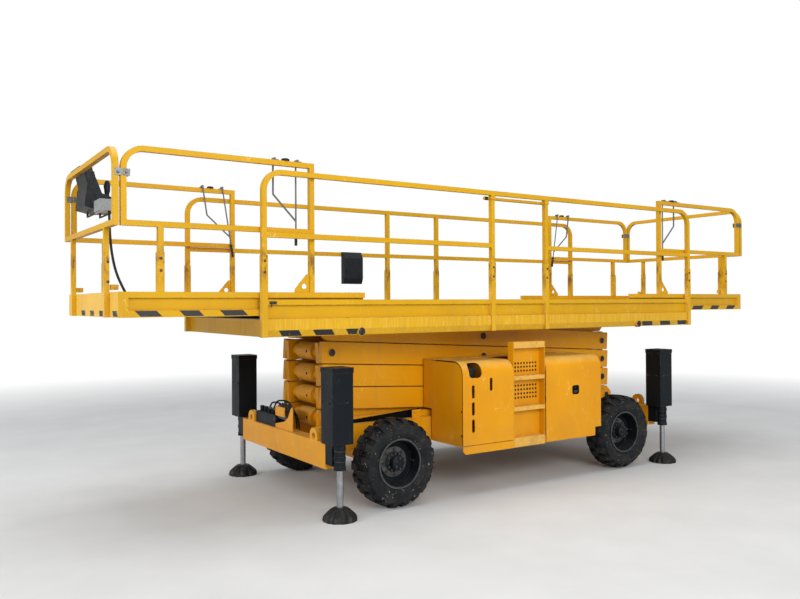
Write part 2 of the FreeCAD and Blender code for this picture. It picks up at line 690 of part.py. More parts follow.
def set_arm(shape, stage, tilt):
    """Turn a level arm to its rest slope and lift it to its stage."""
    turned = shape.rotated(V(0, 0, 0), V(0, 1, 0), tilt)
    return turned.translated(V(0, 0, PIN_Z + (stage - 0.5) * PIN_PITCH))


def rollers(s):
    """A pair of rollers that run in the tracks beside the arms."""
    return both_sides(rod(ROLLER_R, (s, TRACK_Y[0] + 2, 0), (s, RAIL_Y_IN - 2, 0)))


def pin_caps(s, gap):
    """Round caps on the outer faces of the outer pair, s along the arms from their middle."""
    return both_sides(rod(PIN_CAP_R, (s, ARM_OUTER_FACE + gap, 0), (s, ARM_OUTER_FACE + PIN_CAP_T, 0)))


def end_tube():
    """Wide tube and its two collars round the shaft at the left end of an arm pair."""
    collar_reach = INNER_ARM_Y[0] - ARM_GAP
    return [cross_bar(END_TUBE_R, -HALF_ARM, END_TUBE_HALF), cross_bar(COLLAR_R, -HALF_ARM, collar_reach)]


def outer_arm(stage):
    """Outer pair, joined by the shafts at its ends. The top one slides in the platform's tracks."""
    left_cut = FLOOR_CUT if stage == STAGES else END_CUT
    right_cut = BASE_CUT if stage == 1 else END_CUT
    beams = arm_beams(OUTER_ARM_Y, left_cut, right_cut)
    centre_hole = SHAFT_R + PIVOT_PLAY
    beams = [b.cut(cross_bar(centre_hole, 0, ARM_OUTER_FACE + 1)) for b in beams]
    right_reach = RAIL_Y_IN if stage == 1 else ARM_OUTER_FACE
    pieces = beams + [cross_bar(SHAFT_R, HALF_ARM, right_reach)]
    if stage == STAGES:
        pieces += [cross_bar(ROLLER_R - 3, -HALF_ARM, RAIL_Y_IN - 2)] + rollers(-HALF_ARM)
    pieces.append(cross_bar(SHAFT_R, -HALF_ARM, ARM_OUTER_FACE))
    if stage > 1:
        pieces += pin_caps(HALF_ARM, 0)
    if stage < STAGES:
        pieces += pin_caps(-HALF_ARM, 0) + end_tube()
    return set_arm(fuse(pieces), stage, ARM_ANGLE)


# Where each inner pair's two cross tubes lie, along the arms from their middle
TUBE_S = HALF_ARM - TUBE_SETBACK
INNER_TUBES = {1: (-(HALF_ARM - FIRST_TUBE_SETBACK), TUBE_S), 2: (LOW_TUBE_S, TUBE_S), 3: (-TUBE_S, TUBE_S),
               4: (-TUBE_S, TUBE_S)}


def inner_arm(stage):
    """Inner pair, joined by cross tubes, with stub pins at its middle for the outer pair."""
    left_cut = BASE_CUT if stage == 1 else END_CUT
    right_cut = FLOOR_CUT if stage == STAGES else END_CUT
    beams = arm_beams(INNER_ARM_Y, left_cut, right_cut)
    pieces = []
    for beam, side in zip(beams, (1, -1)):
        left_play = 0.0 if stage == 1 else PIVOT_PLAY if stage in (2, 4) else OPEN_PIVOT_PLAY
        right_play = OPEN_PIVOT_PLAY if stage in (1, 3) else PIVOT_PLAY
        if stage > 1:
            beam = beam.cut(cross_bar(SHAFT_R + left_play, -HALF_ARM, ARM_OUTER_FACE))
        if stage < STAGES:
            beam = beam.cut(cross_bar(SHAFT_R + right_play, HALF_ARM, ARM_OUTER_FACE))
        stub = rod(SHAFT_R, (0, side * INNER_ARM_Y[0], 0), (0, side * (ARM_OUTER_FACE + 3), 0))
        pieces += [beam, stub]
    pieces += pin_caps(0, 0.3)
    for s in INNER_TUBES[stage]:
        pieces.append(cross_bar(CROSS_TUBE_R, s, INNER_ARM_Y[0] + 1))
    if stage == 1:
        pieces.append(cross_bar(CYL_PIN_R, CYL_FOOT_S, INNER_ARM_Y[0] + 1, -CYL_FOOT_DROP))
        pieces += [cross_bar(ROLLER_R - 3, -HALF_ARM, RAIL_Y_IN - 2)] + rollers(-HALF_ARM) + end_tube()
    if stage == STAGES:
        pieces.append(cross_bar(SHAFT_R, HALF_ARM, RAIL_Y_IN))
    return set_arm(fuse(pieces), stage, -ARM_ANGLE)


def on_inner_arm(stage, s, n):
    """A point on an inner arm at rest, s along it from its middle and n square to it."""
    a = math.radians(ARM_ANGLE)
    middle = PIN_Z + (stage - 0.5) * PIN_PITCH
    return (s * math.cos(a) - n * math.sin(a), middle + s * math.sin(a) + n * math.cos(a))


CYL_FOOT = on_inner_arm(1, CYL_FOOT_S, -CYL_FOOT_DROP)
CYL_EYE = on_inner_arm(2, CYL_EYE_S, 0)
CYL_LENGTH = math.hypot(CYL_EYE[0] - CYL_FOOT[0], CYL_EYE[1] - CYL_FOOT[1])
CYL_ANGLE = math.degrees(math.atan2(CYL_EYE[1] - CYL_FOOT[1], CYL_EYE[0] - CYL_FOOT[0]))


def set_cylinder(shape):
    """Turn a piece drawn along +X from the foot pin to the cylinder's rest slope."""
    return shape.rotated(V(0, 0, 0), V(0, 1, 0), -CYL_ANGLE).translated(V(CYL_FOOT[0], 0, CYL_FOOT[1]))


def cylinder_barrel():
    """Barrel of the lift cylinder with the eye at its foot, open at its other end for the rod."""
    half = CYL_EYE_W / 2
    bore = CYL_ROD_R + 0.3
    neck = CYL_NECK_W / 2
    barrel = fuse([rod(CYL_EYE_R, (0, -half, 0), (0, half, 0)),
                   rod(CYL_BARREL_R, (CYL_EYE_R, 0, 0), (CYL_BARREL_L, 0, 0)),
                   box((0, CYL_EYE_R + 10), (-half, half), (-neck, neck))])
    barrel = barrel.cut(cross_bar(CYL_PIN_R + PIVOT_PLAY, 0, half + 20))
    barrel = barrel.cut(rod(bore, (CYL_EYE_R + 60, 0, 0), (CYL_BARREL_L + 1, 0, 0)))
    return set_cylinder(barrel)


def cylinder_rod():
    """Rod of the lift cylinder with its eye and the pin through it."""
    reach = INNER_ARM_Y[0] - 0.3
    pieces = [rod(CYL_ROD_R, (CYL_BARREL_L - CYL_ROD_IN_BARREL, 0, 0), (CYL_LENGTH, 0, 0)),
              cross_bar(CYL_PIN_R, CYL_LENGTH, reach),
              cross_bar(CYL_EYE_R, CYL_LENGTH, CYL_EYE_W / 2)]
    return set_cylinder(fuse(pieces))


def box_profile(inset, y_inner, z_low):
    """Closed end outline of a side box, drawn on the +Y side, with its round top edge."""
    face = BOX_FACE_Y - inset
    top = BOX_TOP - inset
    r = BOX_CURVE_R - inset
    s = math.sqrt(0.5)
    edges = [Part.LineSegment(V(0, y_inner, z_low), V(0, y_inner, top)),
             Part.LineSegment(V(0, y_inner, top), V(0, face - r, top)),
             Part.Arc(V(0, face - r, top), V(0, face - r + r * s, top - r + r * s), V(0, face, top - r)),
             Part.LineSegment(V(0, face, top - r), V(0, face, z_low)),
             Part.LineSegment(V(0, face, z_low), V(0, y_inner, z_low))]
    return Part.Face(Part.Wire([e.toShape() for e in edges]))


def slab_of(profile, x0, x1):
    return profile.translated(V(x0, 0, 0)).extrude(V(x1 - x0, 0, 0))


HINGE_Z = BOX_TOP - HOOD_T / 2


def hinge_spots(x0, x1):
    """The leaf length of a hood's two hinges, and where each begins along X."""
    leaf = HINGE_LEAF_SHARE * (x1 - x0)
    inset = HINGE_INSET_SHARE * (x1 - x0)
    return leaf, (x0 + inset, x1 - inset - 3 * leaf)


def slot_through(x, z, half_w, half_h, r):
    """A block with round ends or corners, along +Y, that cuts an opening in a hood's face."""
    y = (BOX_FACE_Y - BOX_CURVE_R, BOX_FACE_Y + 1)
    pieces = [box((x - half_w + r, x + half_w - r), y, (z - half_h, z + half_h)),
              box((x - half_w, x + half_w), y, (z - half_h + r, z + half_h - r))]
    for dx in (-1, 1):
        for dz in (-1, 1):
            spot = (x + dx * (half_w - r), z + dz * (half_h - r))
            pieces.append(rod(r, (spot[0], y[0], spot[1]), (spot[0], y[1], spot[1])))
    return fuse(pieces)


def hood(x0, x1, low_z, cuts):
    """Bent cover of a side box, from its hinge line over the round edge down to its lower edge."""
    edge_y = HINGE_Y + HINGE_R + 1
    outer = slab_of(box_profile(0, edge_y, low_z), x0, x1)
    inner = slab_of(box_profile(HOOD_T, edge_y - 1, low_z - 1), x0 - 1, x1 + 1)
    cover = outer.cut(inner)
    for x, z, half_w, half_h, r in cuts:
        cover = cover.cut(slot_through(x, z, half_w, half_h, r))
    if low_z < BOX_SEAM_Z:
        face_y = (BOX_FACE_Y - BOX_NOTCH_X, BOX_FACE_Y + 1)
        cover = cover.cut(box((x1 - BOX_NOTCH_X, x1 + 1), face_y, (0, BOX_BOTTOM + BOX_NOTCH_H)))
    leaf_l, starts = hinge_spots(x0, x1)
    for start in starts:
        low = start + leaf_l + 0.3
        high = start + 2 * leaf_l - 0.3
        leaf = rod(HINGE_R, (low, HINGE_Y, HINGE_Z), (high, HINGE_Y, HINGE_Z))
        leaf = leaf.fuse(box((low, high), (HINGE_Y, edge_y + 1), (BOX_TOP - HOOD_T, BOX_TOP)))
        bore = rod(HINGE_PIN_R + PIVOT_PLAY, (low, HINGE_Y, HINGE_Z), (high, HINGE_Y, HINGE_Z))
        cover = cover.fuse(leaf.cut(bore))
    return cover.removeSplitter()


def hinge_halves(x0, x1):
    """The box's own leaves and pins for one hood."""
    pieces = []
    leaf_l, starts = hinge_spots(x0, x1)
    for start in starts:
        for low in (start, start + 2 * leaf_l):
            high = low + leaf_l
            pieces.append(rod(HINGE_R, (low, HINGE_Y, HINGE_Z), (high, HINGE_Y, HINGE_Z)))
            pieces.append(box((low, high), (HINGE_Y - HINGE_R - 2, HINGE_Y), (BOX_TOP - HOOD_T, BOX_TOP)))
        pieces.append(rod(HINGE_PIN_R, (start, HINGE_Y, HINGE_Z), (start + 3 * leaf_l, HINGE_Y, HINGE_Z)))
    return pieces


BOX_MIDDLE = (BOX_X[0] + BOX_X[1]) / 2
NEAR_HOODS = ((BOX_X[0], CHEEK_X[0] - SEAM), (CHEEK_X[1] + SEAM, BOX_X[1]))
FAR_HOODS = ((BOX_X[0], BOX_MIDDLE - SEAM), (BOX_MIDDLE + SEAM, BOX_X[1]))
HOOD_LOW_Z = BOX_SEAM_Z + SEAM
LOW_HOOD_Z = BOX_BOTTOM + LOW_HOOD_ABOVE

# Openings in the hoods. Columns: from the hood's left edge, above the box's lower edge, half width,
# half height, corner radius.
VENTS = ((122.0, 569.0, 16.0, 61.0, 15.0),
         (122.0, 413.0, 16.0, 61.0, 15.0),
         (122.0, 254.0, 16.0, 61.0, 15.0),
         (337.0, 628.0, 16.0, 60.0, 15.0),
         (150.0, 765.0, 75.0, 68.0, 40.0))
LATCH_CUP = (414.0, 503.0, 50.0, 46.0, 22.0)


def hood_cuts(x0, table):
    return [(x0 + dx, BOX_BOTTOM + dz, half_w, half_h, r) for dx, dz, half_w, half_h, r in table]


def side_tray(with_bay):
    """Floor pan, front lip, stepped inner wall and end walls of a side box, drawn on the +Y side."""
    x0, x1 = BOX_X
    edge = HOOD_T + SEAM
    shelf_y = ARM_OUTER_FACE + BOX_SHELF_Y_GAP
    shelf_z = RAIL_TOP_Z + BOX_SHELF_ABOVE_RAIL
    pan_z = BOX_SEAM_Z - PLATE
    lip_end = CHEEK_X[0] if with_bay else x1
    pieces = [box((x0, x1), (BOX_INNER_Y, BOX_FACE_Y - edge), (pan_z, BOX_SEAM_Z)),
              box((x0, x1), (BOX_INNER_Y, BOX_INNER_Y + PLATE), (pan_z, shelf_z + PLATE)),
              box((x0, x1), (shelf_y, BOX_INNER_Y + PLATE), (shelf_z, shelf_z + PLATE)),
              box((x0, x1), (shelf_y, shelf_y + PLATE), (shelf_z, BOX_TOP)),
              box((x0, x1), (shelf_y, HINGE_Y - HINGE_R - 1), (BOX_TOP - PLATE, BOX_TOP))]
    lip = box((x0, lip_end), (BOX_FACE_Y - PLATE, BOX_FACE_Y), (BOX_BOTTOM, BOX_SEAM_Z))
    lip = lip.fuse(box((x0, lip_end), (BOX_FACE_Y - edge - 1, BOX_FACE_Y), (pan_z, BOX_SEAM_Z)))
    corner = [(x0, 0, BOX_BOTTOM), (x0 + BOX_LIP_CUT, 0, BOX_BOTTOM), (x0, 0, BOX_BOTTOM + BOX_LIP_CUT)]
    pieces.append(lip.cut(extruded(corner, (0, BOX_FACE_Y + 1, 0))))
    if with_bay:
        apron_y = (BOX_FACE_Y - edge - PLATE, BOX_FACE_Y - edge)
        pieces.append(box((CHEEK_X[1], x1), apron_y, (LOW_HOOD_Z, BOX_SEAM_Z)))
    walls = [x0, x1 - PLATE] if with_bay else [x0, BOX_MIDDLE - PLATE / 2, x1 - PLATE]
    for x in walls:
        wall = slab_of(box_profile(edge, BOX_INNER_Y, pan_z), x, x + PLATE)
        pieces.append(wall.fuse(box((x, x + PLATE), (shelf_y, BOX_INNER_Y + 1), (shelf_z, BOX_TOP))))
    notch_x = (x1 - BOX_NOTCH_X, x1 + 1)
    notch_z = BOX_BOTTOM + BOX_NOTCH_H
    tray = fuse(pieces).cut(box(notch_x, (BOX_INNER_Y - 1, BOX_FACE_Y + 1), (BOX_BOTTOM - 1, notch_z)))
    low_end = BOX_FACE_Y - edge
    ledge = box((notch_x[0] - PLATE, x1), (BOX_INNER_Y, low_end), (notch_z, notch_z + PLATE))
    riser = box((notch_x[0] - PLATE, notch_x[0]), (BOX_INNER_Y, low_end), (pan_z, notch_z + PLATE))
    tray = fuse([tray, ledge, riser])
    hinge_y = (HINGE_Y - HINGE_R - 1, HINGE_Y + HINGE_R + 30)
    for hood_x in (NEAR_HOODS if with_bay else FAR_HOODS):
        tray = tray.cut(box(hood_x, hinge_y, (HINGE_Z - HINGE_R - 1, BOX_TOP)))
        tray = fuse([tray] + hinge_halves(*hood_x))
    if with_bay:
        bay_y = (BOX_FACE_Y - LADDER_DEPTH - PLATE - BAY_PLAY, BOX_FACE_Y + 10)
        tray = tray.cut(box(CHEEK_X, bay_y, (BOX_BOTTOM - 1, BOX_TOP + 10)))
        rest_x = (CHEEK_X[0] - REST_MARGIN, CHEEK_X[1] + REST_MARGIN)
        rest = box(rest_x, (bay_y[0] - PLATE, bay_y[0]), (pan_z, BOX_TOP - BOX_CURVE_R))
        tray = fuse([tray, rest])
    return tray


def ladder():
    """Ladder bay: two cheeks, a pierced back plate and folded steps, drawn on the +Y side."""
    y0 = BOX_FACE_Y - LADDER_DEPTH
    front = BOX_FACE_Y - LADDER_SETBACK
    inner = LADDER_INNER_X
    back = box(inner, (y0 - PLATE, y0), (BOX_BOTTOM, TOP_STEP_Z[1]))
    hexagon = ring_points([HOLE_R] * 6, 0, 0)
    for height in HOLE_ROW_HEIGHTS:
        for column in range(HOLE_COLUMNS):
            x = LADDER_X - HOLE_FROM_MIDDLE + column * HOLE_PITCH
            spot = V(x, y0 - PLATE - 1, BOX_BOTTOM + height)
            back = back.cut(flat_face([p + spot for p in hexagon]).extrude(V(0, PLATE + 2, 0)))
    pieces = [back]
    for x_pair in ((CHEEK_X[0] + BAY_PLAY, inner[0]), (inner[1], CHEEK_X[1] - BAY_PLAY)):
        pieces.append(box(x_pair, (y0 - PLATE, front), (BOX_BOTTOM, TOP_STEP_Z[1])))
    for index, top in enumerate(STEP_TOPS):
        low = BOX_BOTTOM if index == 0 else top - STEP_FRONT_H
        pieces.append(box(inner, (y0, front), (top - PLATE, top)))
        pieces.append(box(inner, (front - PLATE, front), (low, top)))
    pieces.append(box(inner, (y0, front), TOP_STEP_Z))
    return fuse(pieces)


# Brackets from the slide tracks out to the sills, as shares of the deck's half length
DECK_BRACKET_SHARES = (-0.853, -0.556, -0.26, 0.0, 0.26, 0.556, 0.853)


def platform_frame():
    """Side sills with toe boards, slide tracks, brackets and cross members under the floor."""
    length = (-DECK_HALF_L + SOCKET, DECK_HALF_L - SOCKET)
    toe_y = (RAIL_FACE_Y - RAIL_TUBE - PLATE, RAIL_FACE_Y - RAIL_TUBE)
    under = FLOOR_TOP - FLOOR_T
    sill = box(length, toe_y, (DECK_BOTTOM, TOE_TOP))
    flange = box(length, (toe_y[0] - FLANGE_W, toe_y[1]), (DECK_BOTTOM, DECK_BOTTOM + FLANGE_T))
    bead = box(length, (toe_y[1] - 1, toe_y[1] + SILL_OUT - 2), (TOE_TOP - TOE_BEAD, TOE_TOP))
    band_z = (FLOOR_TOP - SILL_BAND_H, FLOOR_TOP)
    band = [(toe_y[1] - 1, DECK_BOTTOM + 1), (toe_y[1] + 4, DECK_BOTTOM + 1),
            (toe_y[1] + SILL_OUT, band_z[0]), (toe_y[1] + SILL_OUT, band_z[1]), (toe_y[1] - 1, band_z[1])]
    bead = bead.fuse(extruded([(length[0], y, z) for y, z in band], (length[1] - length[0], 0, 0)))
    for end in ENDS.values():
        cap = rod(PIN_CAP_R, (end * PIN_X, toe_y[1] - 1, TOP_PIN_Z), (end * PIN_X, RAIL_FACE_Y, TOP_PIN_Z))
        bead = bead.fuse(cap)
    for x in NEAR_POSTS:
        post_x = (x - SOCKET / 2, x + SOCKET / 2)
        bead = bead.cut(box(post_x, (toe_y[1], RAIL_FACE_Y), (DECK_BOTTOM, TOE_TOP)))
    beam_x = (-(DECK_HALF_L - TRACK_SHORT), DECK_HALF_L - TRACK_SHORT)
    track = box(beam_x, (TRACK_Y[0], TRACK_Y[1] + TRACK_WALL), (DECK_BOTTOM, under))
    groove_y = (TRACK_Y[0] - 1, RAIL_Y_IN)
    groove_top = TOP_PIN_Z + TRACK_HALF
    upper_z = (groove_top + TRACK_WALL, under - TRACK_WALL)
    track = track.cut(box((beam_x[0] - 1, beam_x[1] + 1), groove_y, upper_z))
    track = track.cut(box((beam_x[0] - 1, 0), groove_y, (TOP_PIN_Z - TRACK_HALF, groove_top)))
    track = track.cut(rod(SHAFT_R + PIVOT_PLAY, (PIN_X, 0, TOP_PIN_Z), (PIN_X, RAIL_Y_IN + 1, TOP_PIN_Z)))
    pieces = both_sides(sill) + both_sides(flange) + both_sides(bead) + both_sides(track)
    for share in DECK_BRACKET_SHARES:
        x = share * DECK_HALF_L
        bracket_x = (x - BRACKET_W / 2, x + BRACKET_W / 2)
        pieces += both_sides(box(bracket_x, (TRACK_Y[1], toe_y[0]), (under - BRACKET_H, under)))
    for x, reach in ((DECK_HALF_L - END_CROSS_IN, toe_y[0]), (PIN_X + CROSS_SETOFF, TRACK_Y[1])):
        cross = box((x - CROSS_T / 2, x + CROSS_T / 2), (-reach, reach), (DECK_BOTTOM, under))
        pieces += [cross, mirrored_x(cross)]
    return fuse(pieces)


def platform_floor():
    """Floor plate with the pads that the extensions slide on."""
    inside = RAIL_FACE_Y - RAIL_TUBE - PLATE
    length = (-DECK_HALF_L + SOCKET, DECK_HALF_L - SOCKET)
    pieces = [box(length, (-inside, inside), (FLOOR_TOP - FLOOR_T, FLOOR_TOP))]
    pad_y = (EXT_FACE_Y - EXT_BEAM_T, EXT_FACE_Y - PAD_NARROW)
    for end in ENDS.values():
        for x in (EXT_INNER_X + PAD_SETS[0], DECK_HALF_L - PAD_SETS[1]):
            pad_x = (end * x - PAD_L / 2, end * x + PAD_L / 2)
            pieces += both_sides(box(pad_x, pad_y, (FLOOR_TOP, EXT_BEAM_Z[0] - RAIL_SEAT)))
    return fuse(pieces)


def main_rail(side, posts, gate):
    """Side guard rail: bent top rail, posts in sockets, middle rails between them."""
    half = RAIL_TUBE / 2
    y = RAIL_FACE_Y - half
    end_x = DECK_HALF_L - half - (SOCKET - RAIL_TUBE) / 2
    top = RAIL_TOP - half
    hoop = bent_tube([(-end_x, y, DECK_BOTTOM), (-end_x, y, top), (end_x, y, top), (end_x, y, DECK_BOTTOM)],
                     RAIL_TUBE, BEND_R, (0, 1, 0))
    pieces = [hoop]
    for x in posts:
        pieces.append(box((x - half, x + half), (y - half, y + half), (DECK_BOTTOM, top)))
    stops = (-end_x,) + posts + (end_x,)
    socket = SOCKET / 2
    for x in stops:
        pieces.append(box((x - socket, x + socket), (y - half, y + socket), (DECK_BOTTOM, SOCKET_TOP)))
    for left, right in zip(stops, stops[1:]):
        if gate and left == posts[0]:
            continue
        pieces.append(box((left, right), (y - half, y + half), (MID_RAIL_TOP - RAIL_TUBE, MID_RAIL_TOP)))
    whole = fuse(pieces)
    return whole if side > 0 else mirrored_y(whole)


def gate_bar():
    """Bar that slides up and down between the two posts above the ladder, on a collar round each."""
    half = RAIL_TUBE / 2
    y = -(RAIL_FACE_Y - half)
    bar_y = y + half + GATE_STANDOFF + GATE_R
    start = (NEAR_POSTS[0] - GATE_OVERHANG, bar_y, GATE_Z)
    pieces = [rod(GATE_R, start, (NEAR_POSTS[1] + GATE_OVERHANG, bar_y, GATE_Z))]
    wall = half + COLLAR_WALL
    hole = half + COLLAR_PLAY
    collar_z = (GATE_Z - COLLAR_H / 2, GATE_Z + COLLAR_H / 2)
    for x in NEAR_POSTS:
        collar = box((x - wall, x + wall), (y - wall, y + wall), collar_z)
        pieces.append(collar.cut(box((x - hole, x + hole), (y - hole, y + hole), collar_z)))
    return fuse(pieces)


def extension_deck():
    """Sliding deck at the right end: side channels, end toe board and floor plate."""
    y = (EXT_FACE_Y - EXT_BEAM_T, EXT_FACE_Y)
    x = (EXT_INNER_X, EXT_END_X)
    web_y = (EXT_FACE_Y - EXT_WEB_IN - PLATE, EXT_FACE_Y - EXT_WEB_IN)
    web = box(x, web_y, EXT_BEAM_Z)
    top = box(x, y, (EXT_BEAM_Z[1] - EXT_TOP_BAND_H, EXT_BEAM_Z[1]))
    low = box(x, (web_y[0], y[1]), (EXT_BEAM_Z[0], EXT_BEAM_Z[0] + PLATE))
    band = box(x, (y[1] - PLATE, y[1]), (EXT_BEAM_Z[0], EXT_BEAM_Z[0] + EXT_BAND_H))
    ledge = box(x, (web_y[0], y[1]), (EXT_BEAM_Z[0] + EXT_BAND_H - PLATE, EXT_BEAM_Z[0] + EXT_BAND_H))
    block = box((x[1] - EXT_END_BLOCK_L, x[1]), y, EXT_BEAM_Z)
    floor = box(x, (-web_y[1], web_y[1]), EXT_FLOOR_Z)
    end = box((x[1] - PLATE, x[1]), (-y[1], y[1]), EXT_BEAM_Z)
    rear_z = (EXT_FLOOR_Z[0], EXT_FLOOR_Z[0] + EXT_REAR_BAR)
    rear = box((x[0], x[0] + EXT_REAR_BAR), (-web_y[1], web_y[1]), rear_z)
    sides = [piece for shape in (web, top, low, band, ledge, block) for piece in both_sides(shape)]
    return fuse(sides + [floor, end, rear])


def extension_rails():
    """Rails of the right extension: two side panels and the end hoop on two inset legs."""
    half = RAIL_TUBE / 2
    socket = SOCKET / 2
    y = EXT_FACE_Y - half
    corner = EXT_CORNER_X - half
    top = EXT_RAIL_TOP - half
    mid = EXT_MID_TOP - half
    base = EXT_BEAM_Z[1] + RAIL_SEAT
    bend = [(corner, y, mid - half), (corner, y, top), (EXT_POST_X - half, y, top)]
    side = [bent_tube(bend, RAIL_TUBE, BEND_R, (0, 1, 0)),
            box((EXT_POST_X - half, EXT_POST_X + half), (y - half, y + half), (base, top)),
            box((EXT_POST_X, corner), (y - half, y + half), (mid - half, mid + half)),
            box((EXT_LEG_X - half, EXT_LEG_X + half), (y - half, y + half), (base, mid)),
            box((EXT_LEG_X - socket, EXT_LEG_X + socket), (y + half - SOCKET, y + half), (base, SOCKET_TOP))]
    foot = EXT_POST_X + half
    low_y = y - GUSSET_T / 2
    outline = [(foot - 1, base), (foot + GUSSET_L, base), (foot + GUSSET_L, base + GUSSET_EDGE),
               (foot + GUSSET_EDGE, base + GUSSET_H), (foot - 1, base + GUSSET_H)]
    gusset = extruded([(x, low_y, z) for x, z in outline], (0, GUSSET_T, 0))
    spot = (foot + GUSSET_HOLE_OUT, base + GUSSET_HOLE_UP)
    hole = rod(GUSSET_HOLE_R, (spot[0], y - GUSSET_T, spot[1]), (spot[0], y + GUSSET_T, spot[1]))
    side.append(gusset.cut(hole))
    panel = fuse(side)
    end_x = EXT_END_X + half - END_HOOP_IN
    leg_x = (EXT_END_X + RAIL_SEAT, end_x + half)
    reach = EXT_FACE_Y - half
    arch = [(end_x, -reach, mid - half), (end_x, -reach, top), (end_x, reach, top), (end_x, reach, mid - half)]
    hoop = [bent_tube(arch, RAIL_TUBE, BEND_R, (1, 0, 0)),
            box((end_x - half, end_x + half), (-reach, reach), (mid - half, mid + half))]
    for leg in (-END_LEG_Y, END_LEG_Y):
        hoop.append(box(leg_x, (leg - half, leg + half), (EXT_BEAM_Z[0], mid)))
        hoop.append(box(leg_x, (leg - socket, leg + socket), (EXT_BEAM_Z[0], SOCKET_TOP)))
    return both_sides(panel) + [fuse(hoop)]


def lever(end, side, lean):
    """Two linked handles inside an extension's top rail, one straight with a grip and one bent to it."""
    y = EXT_FACE_Y - RAIL_TUBE - LEVER_PIVOT_R - LEVER_SETBACK
    top = EXT_RAIL_TOP + PLATE + LEVER_PIVOT_R
    x0, x1 = LEVER_X

    def leaned(x, drop):
        return (x - lean * drop / LEVER_LENGTH, y, EXT_RAIL_TOP - drop)

    bent = [(x1, y, top), leaned(x1, LEVER_KNEE), leaned(x0, LEVER_JOIN)]
    foot = leaned(x0, LEVER_LENGTH - GRIP_L)
    collar = leaned(x0, LEVER_LENGTH - GRIP_L - 2 * GRIP_R)
    pieces = [rod(LEVER_R, (x0, y, top), foot), rod(GRIP_R, foot, leaned(x0, LEVER_LENGTH)),
              rod(GRIP_COLLAR_R, collar, leaned(x0, LEVER_LENGTH - GRIP_L - GRIP_R)),
              bent_tube(bent, 2 * LEVER_R - 2, 3 * LEVER_R, (0, 1, 0))]
    saddle_y = (EXT_FACE_Y - RAIL_TUBE, EXT_FACE_Y)
    for x in LEVER_X:
        saddle_x = (x - LEVER_SADDLE_W / 2, x + LEVER_SADDLE_W / 2)
        pieces.append(rod(LEVER_PIVOT_R, (x, y - LEVER_PIVOT_R, top), (x, EXT_FACE_Y - RAIL_TUBE / 2, top)))
        pieces.append(box(saddle_x, saddle_y, (EXT_RAIL_TOP, EXT_RAIL_TOP + PLATE + 1)))
    whole = fuse(pieces)
    whole = whole if side > 0 else mirrored_y(whole)
    return whole if end > 0 else mirrored_x(whole)


def valve_block():
    """Hydraulic valve block on the left end beam, with a row of coils on its top."""
    x = (-CHASSIS_HALF_L + VALVE_SETBACK, -CHASSIS_HALF_L + END_BEAM_T - VALVE_FROM_BACK)
    z = (END_BEAM_Z[1], END_BEAM_Z[1] + VALVE_H)
    coil_x = (x[0] + x[1]) / 2
    pieces = [box(x, VALVE_Y, z)]
    for index in range(VALVE_COILS):
        y = VALVE_Y[0] + (index + 0.5) * (VALVE_Y[1] - VALVE_Y[0]) / VALVE_COILS
        pieces.append(rod(COIL_R, (coil_x, y, z[1] - 1), (coil_x, y, z[1] + COIL_H)))
    return fuse(pieces)


def control_box():
    """Console hung on the left end rail: a tall wedge, a stick, and a smaller box beside it on two bars."""
    x_face = -(EXT_END_X + RAIL_TUBE - END_HOOP_IN)
    x_in = x_face + RAIL_TUBE + RAIL_SEAT
    y0, y1 = CONTROL_Y
    z0 = CONTROL_LOW_Z
    body = extruded([(x_in + x, y0, z0 + z) for x, z in CONTROL_OUTLINE], (0, y1 - y0, 0))
    stick_x = x_in + STICK_X
    stick_y = (y0 + y1) / 2 - STICK_OFF_MIDDLE
    foot, grip_low, neck, tip = [z0 + z for z in STICK_Z]
    stick = fuse([rod(STICK_R, (stick_x, stick_y, foot), (stick_x, stick_y, neck)),
                  rod(STICK_GRIP_R, (stick_x, stick_y, grip_low), (stick_x - STICK_LEAN, stick_y, tip))])
    side_z = (z0 + SIDE_BOX_Z[0], z0 + SIDE_BOX_Z[1])
    side_box = box((x_in + SIDE_BOX_X[0], x_in + SIDE_BOX_X[1]), (y0 - SIDE_BOX_W, y0), side_z)
    bar_low = side_z[0] - SHELF_BAR_T
    bar_end = y1 - SHELF_END_IN
    bars = []
    for offset in SHELF_BAR_X:
        x = (x_in + offset, x_in + offset + SHELF_BAR_T)
        bars.append(box(x, (y0 - SIDE_BOX_W, bar_end), (bar_low, side_z[0])))
        bars.append(box(x, (bar_end - SHELF_UPRIGHT_W, bar_end), (bar_low, bar_low + SHELF_UPRIGHT_H)))
    hook_top = EXT_RAIL_TOP + HOOK_TOP_T
    hook_foot = z0 + HOOK_FOOT_Z
    outline = [(x_in + HOOK_X[0], hook_foot), (x_in, EXT_RAIL_TOP), (x_face, EXT_RAIL_TOP), (x_face, hook_top),
               (x_in + HOOK_X[1], hook_top), (x_in + HOOK_X[2], hook_foot)]
    hooks = [extruded([(x, y, z) for x, z in outline], (0, HOOK_T, 0)) for y in (y0, y1 - HOOK_T)]
    return fuse([body, stick, side_box] + bars + hooks)


def document_box():
    """Box with a sloping mouth, hooked over the middle rail."""
    y = RAIL_FACE_Y - RAIL_TUBE
    outline = [(DOC_X[0], y - inward, MID_RAIL_TOP - drop) for inward, drop in DOC_OUTLINE]
    return extruded(outline, (DOC_X[1] - DOC_X[0], 0, 0))


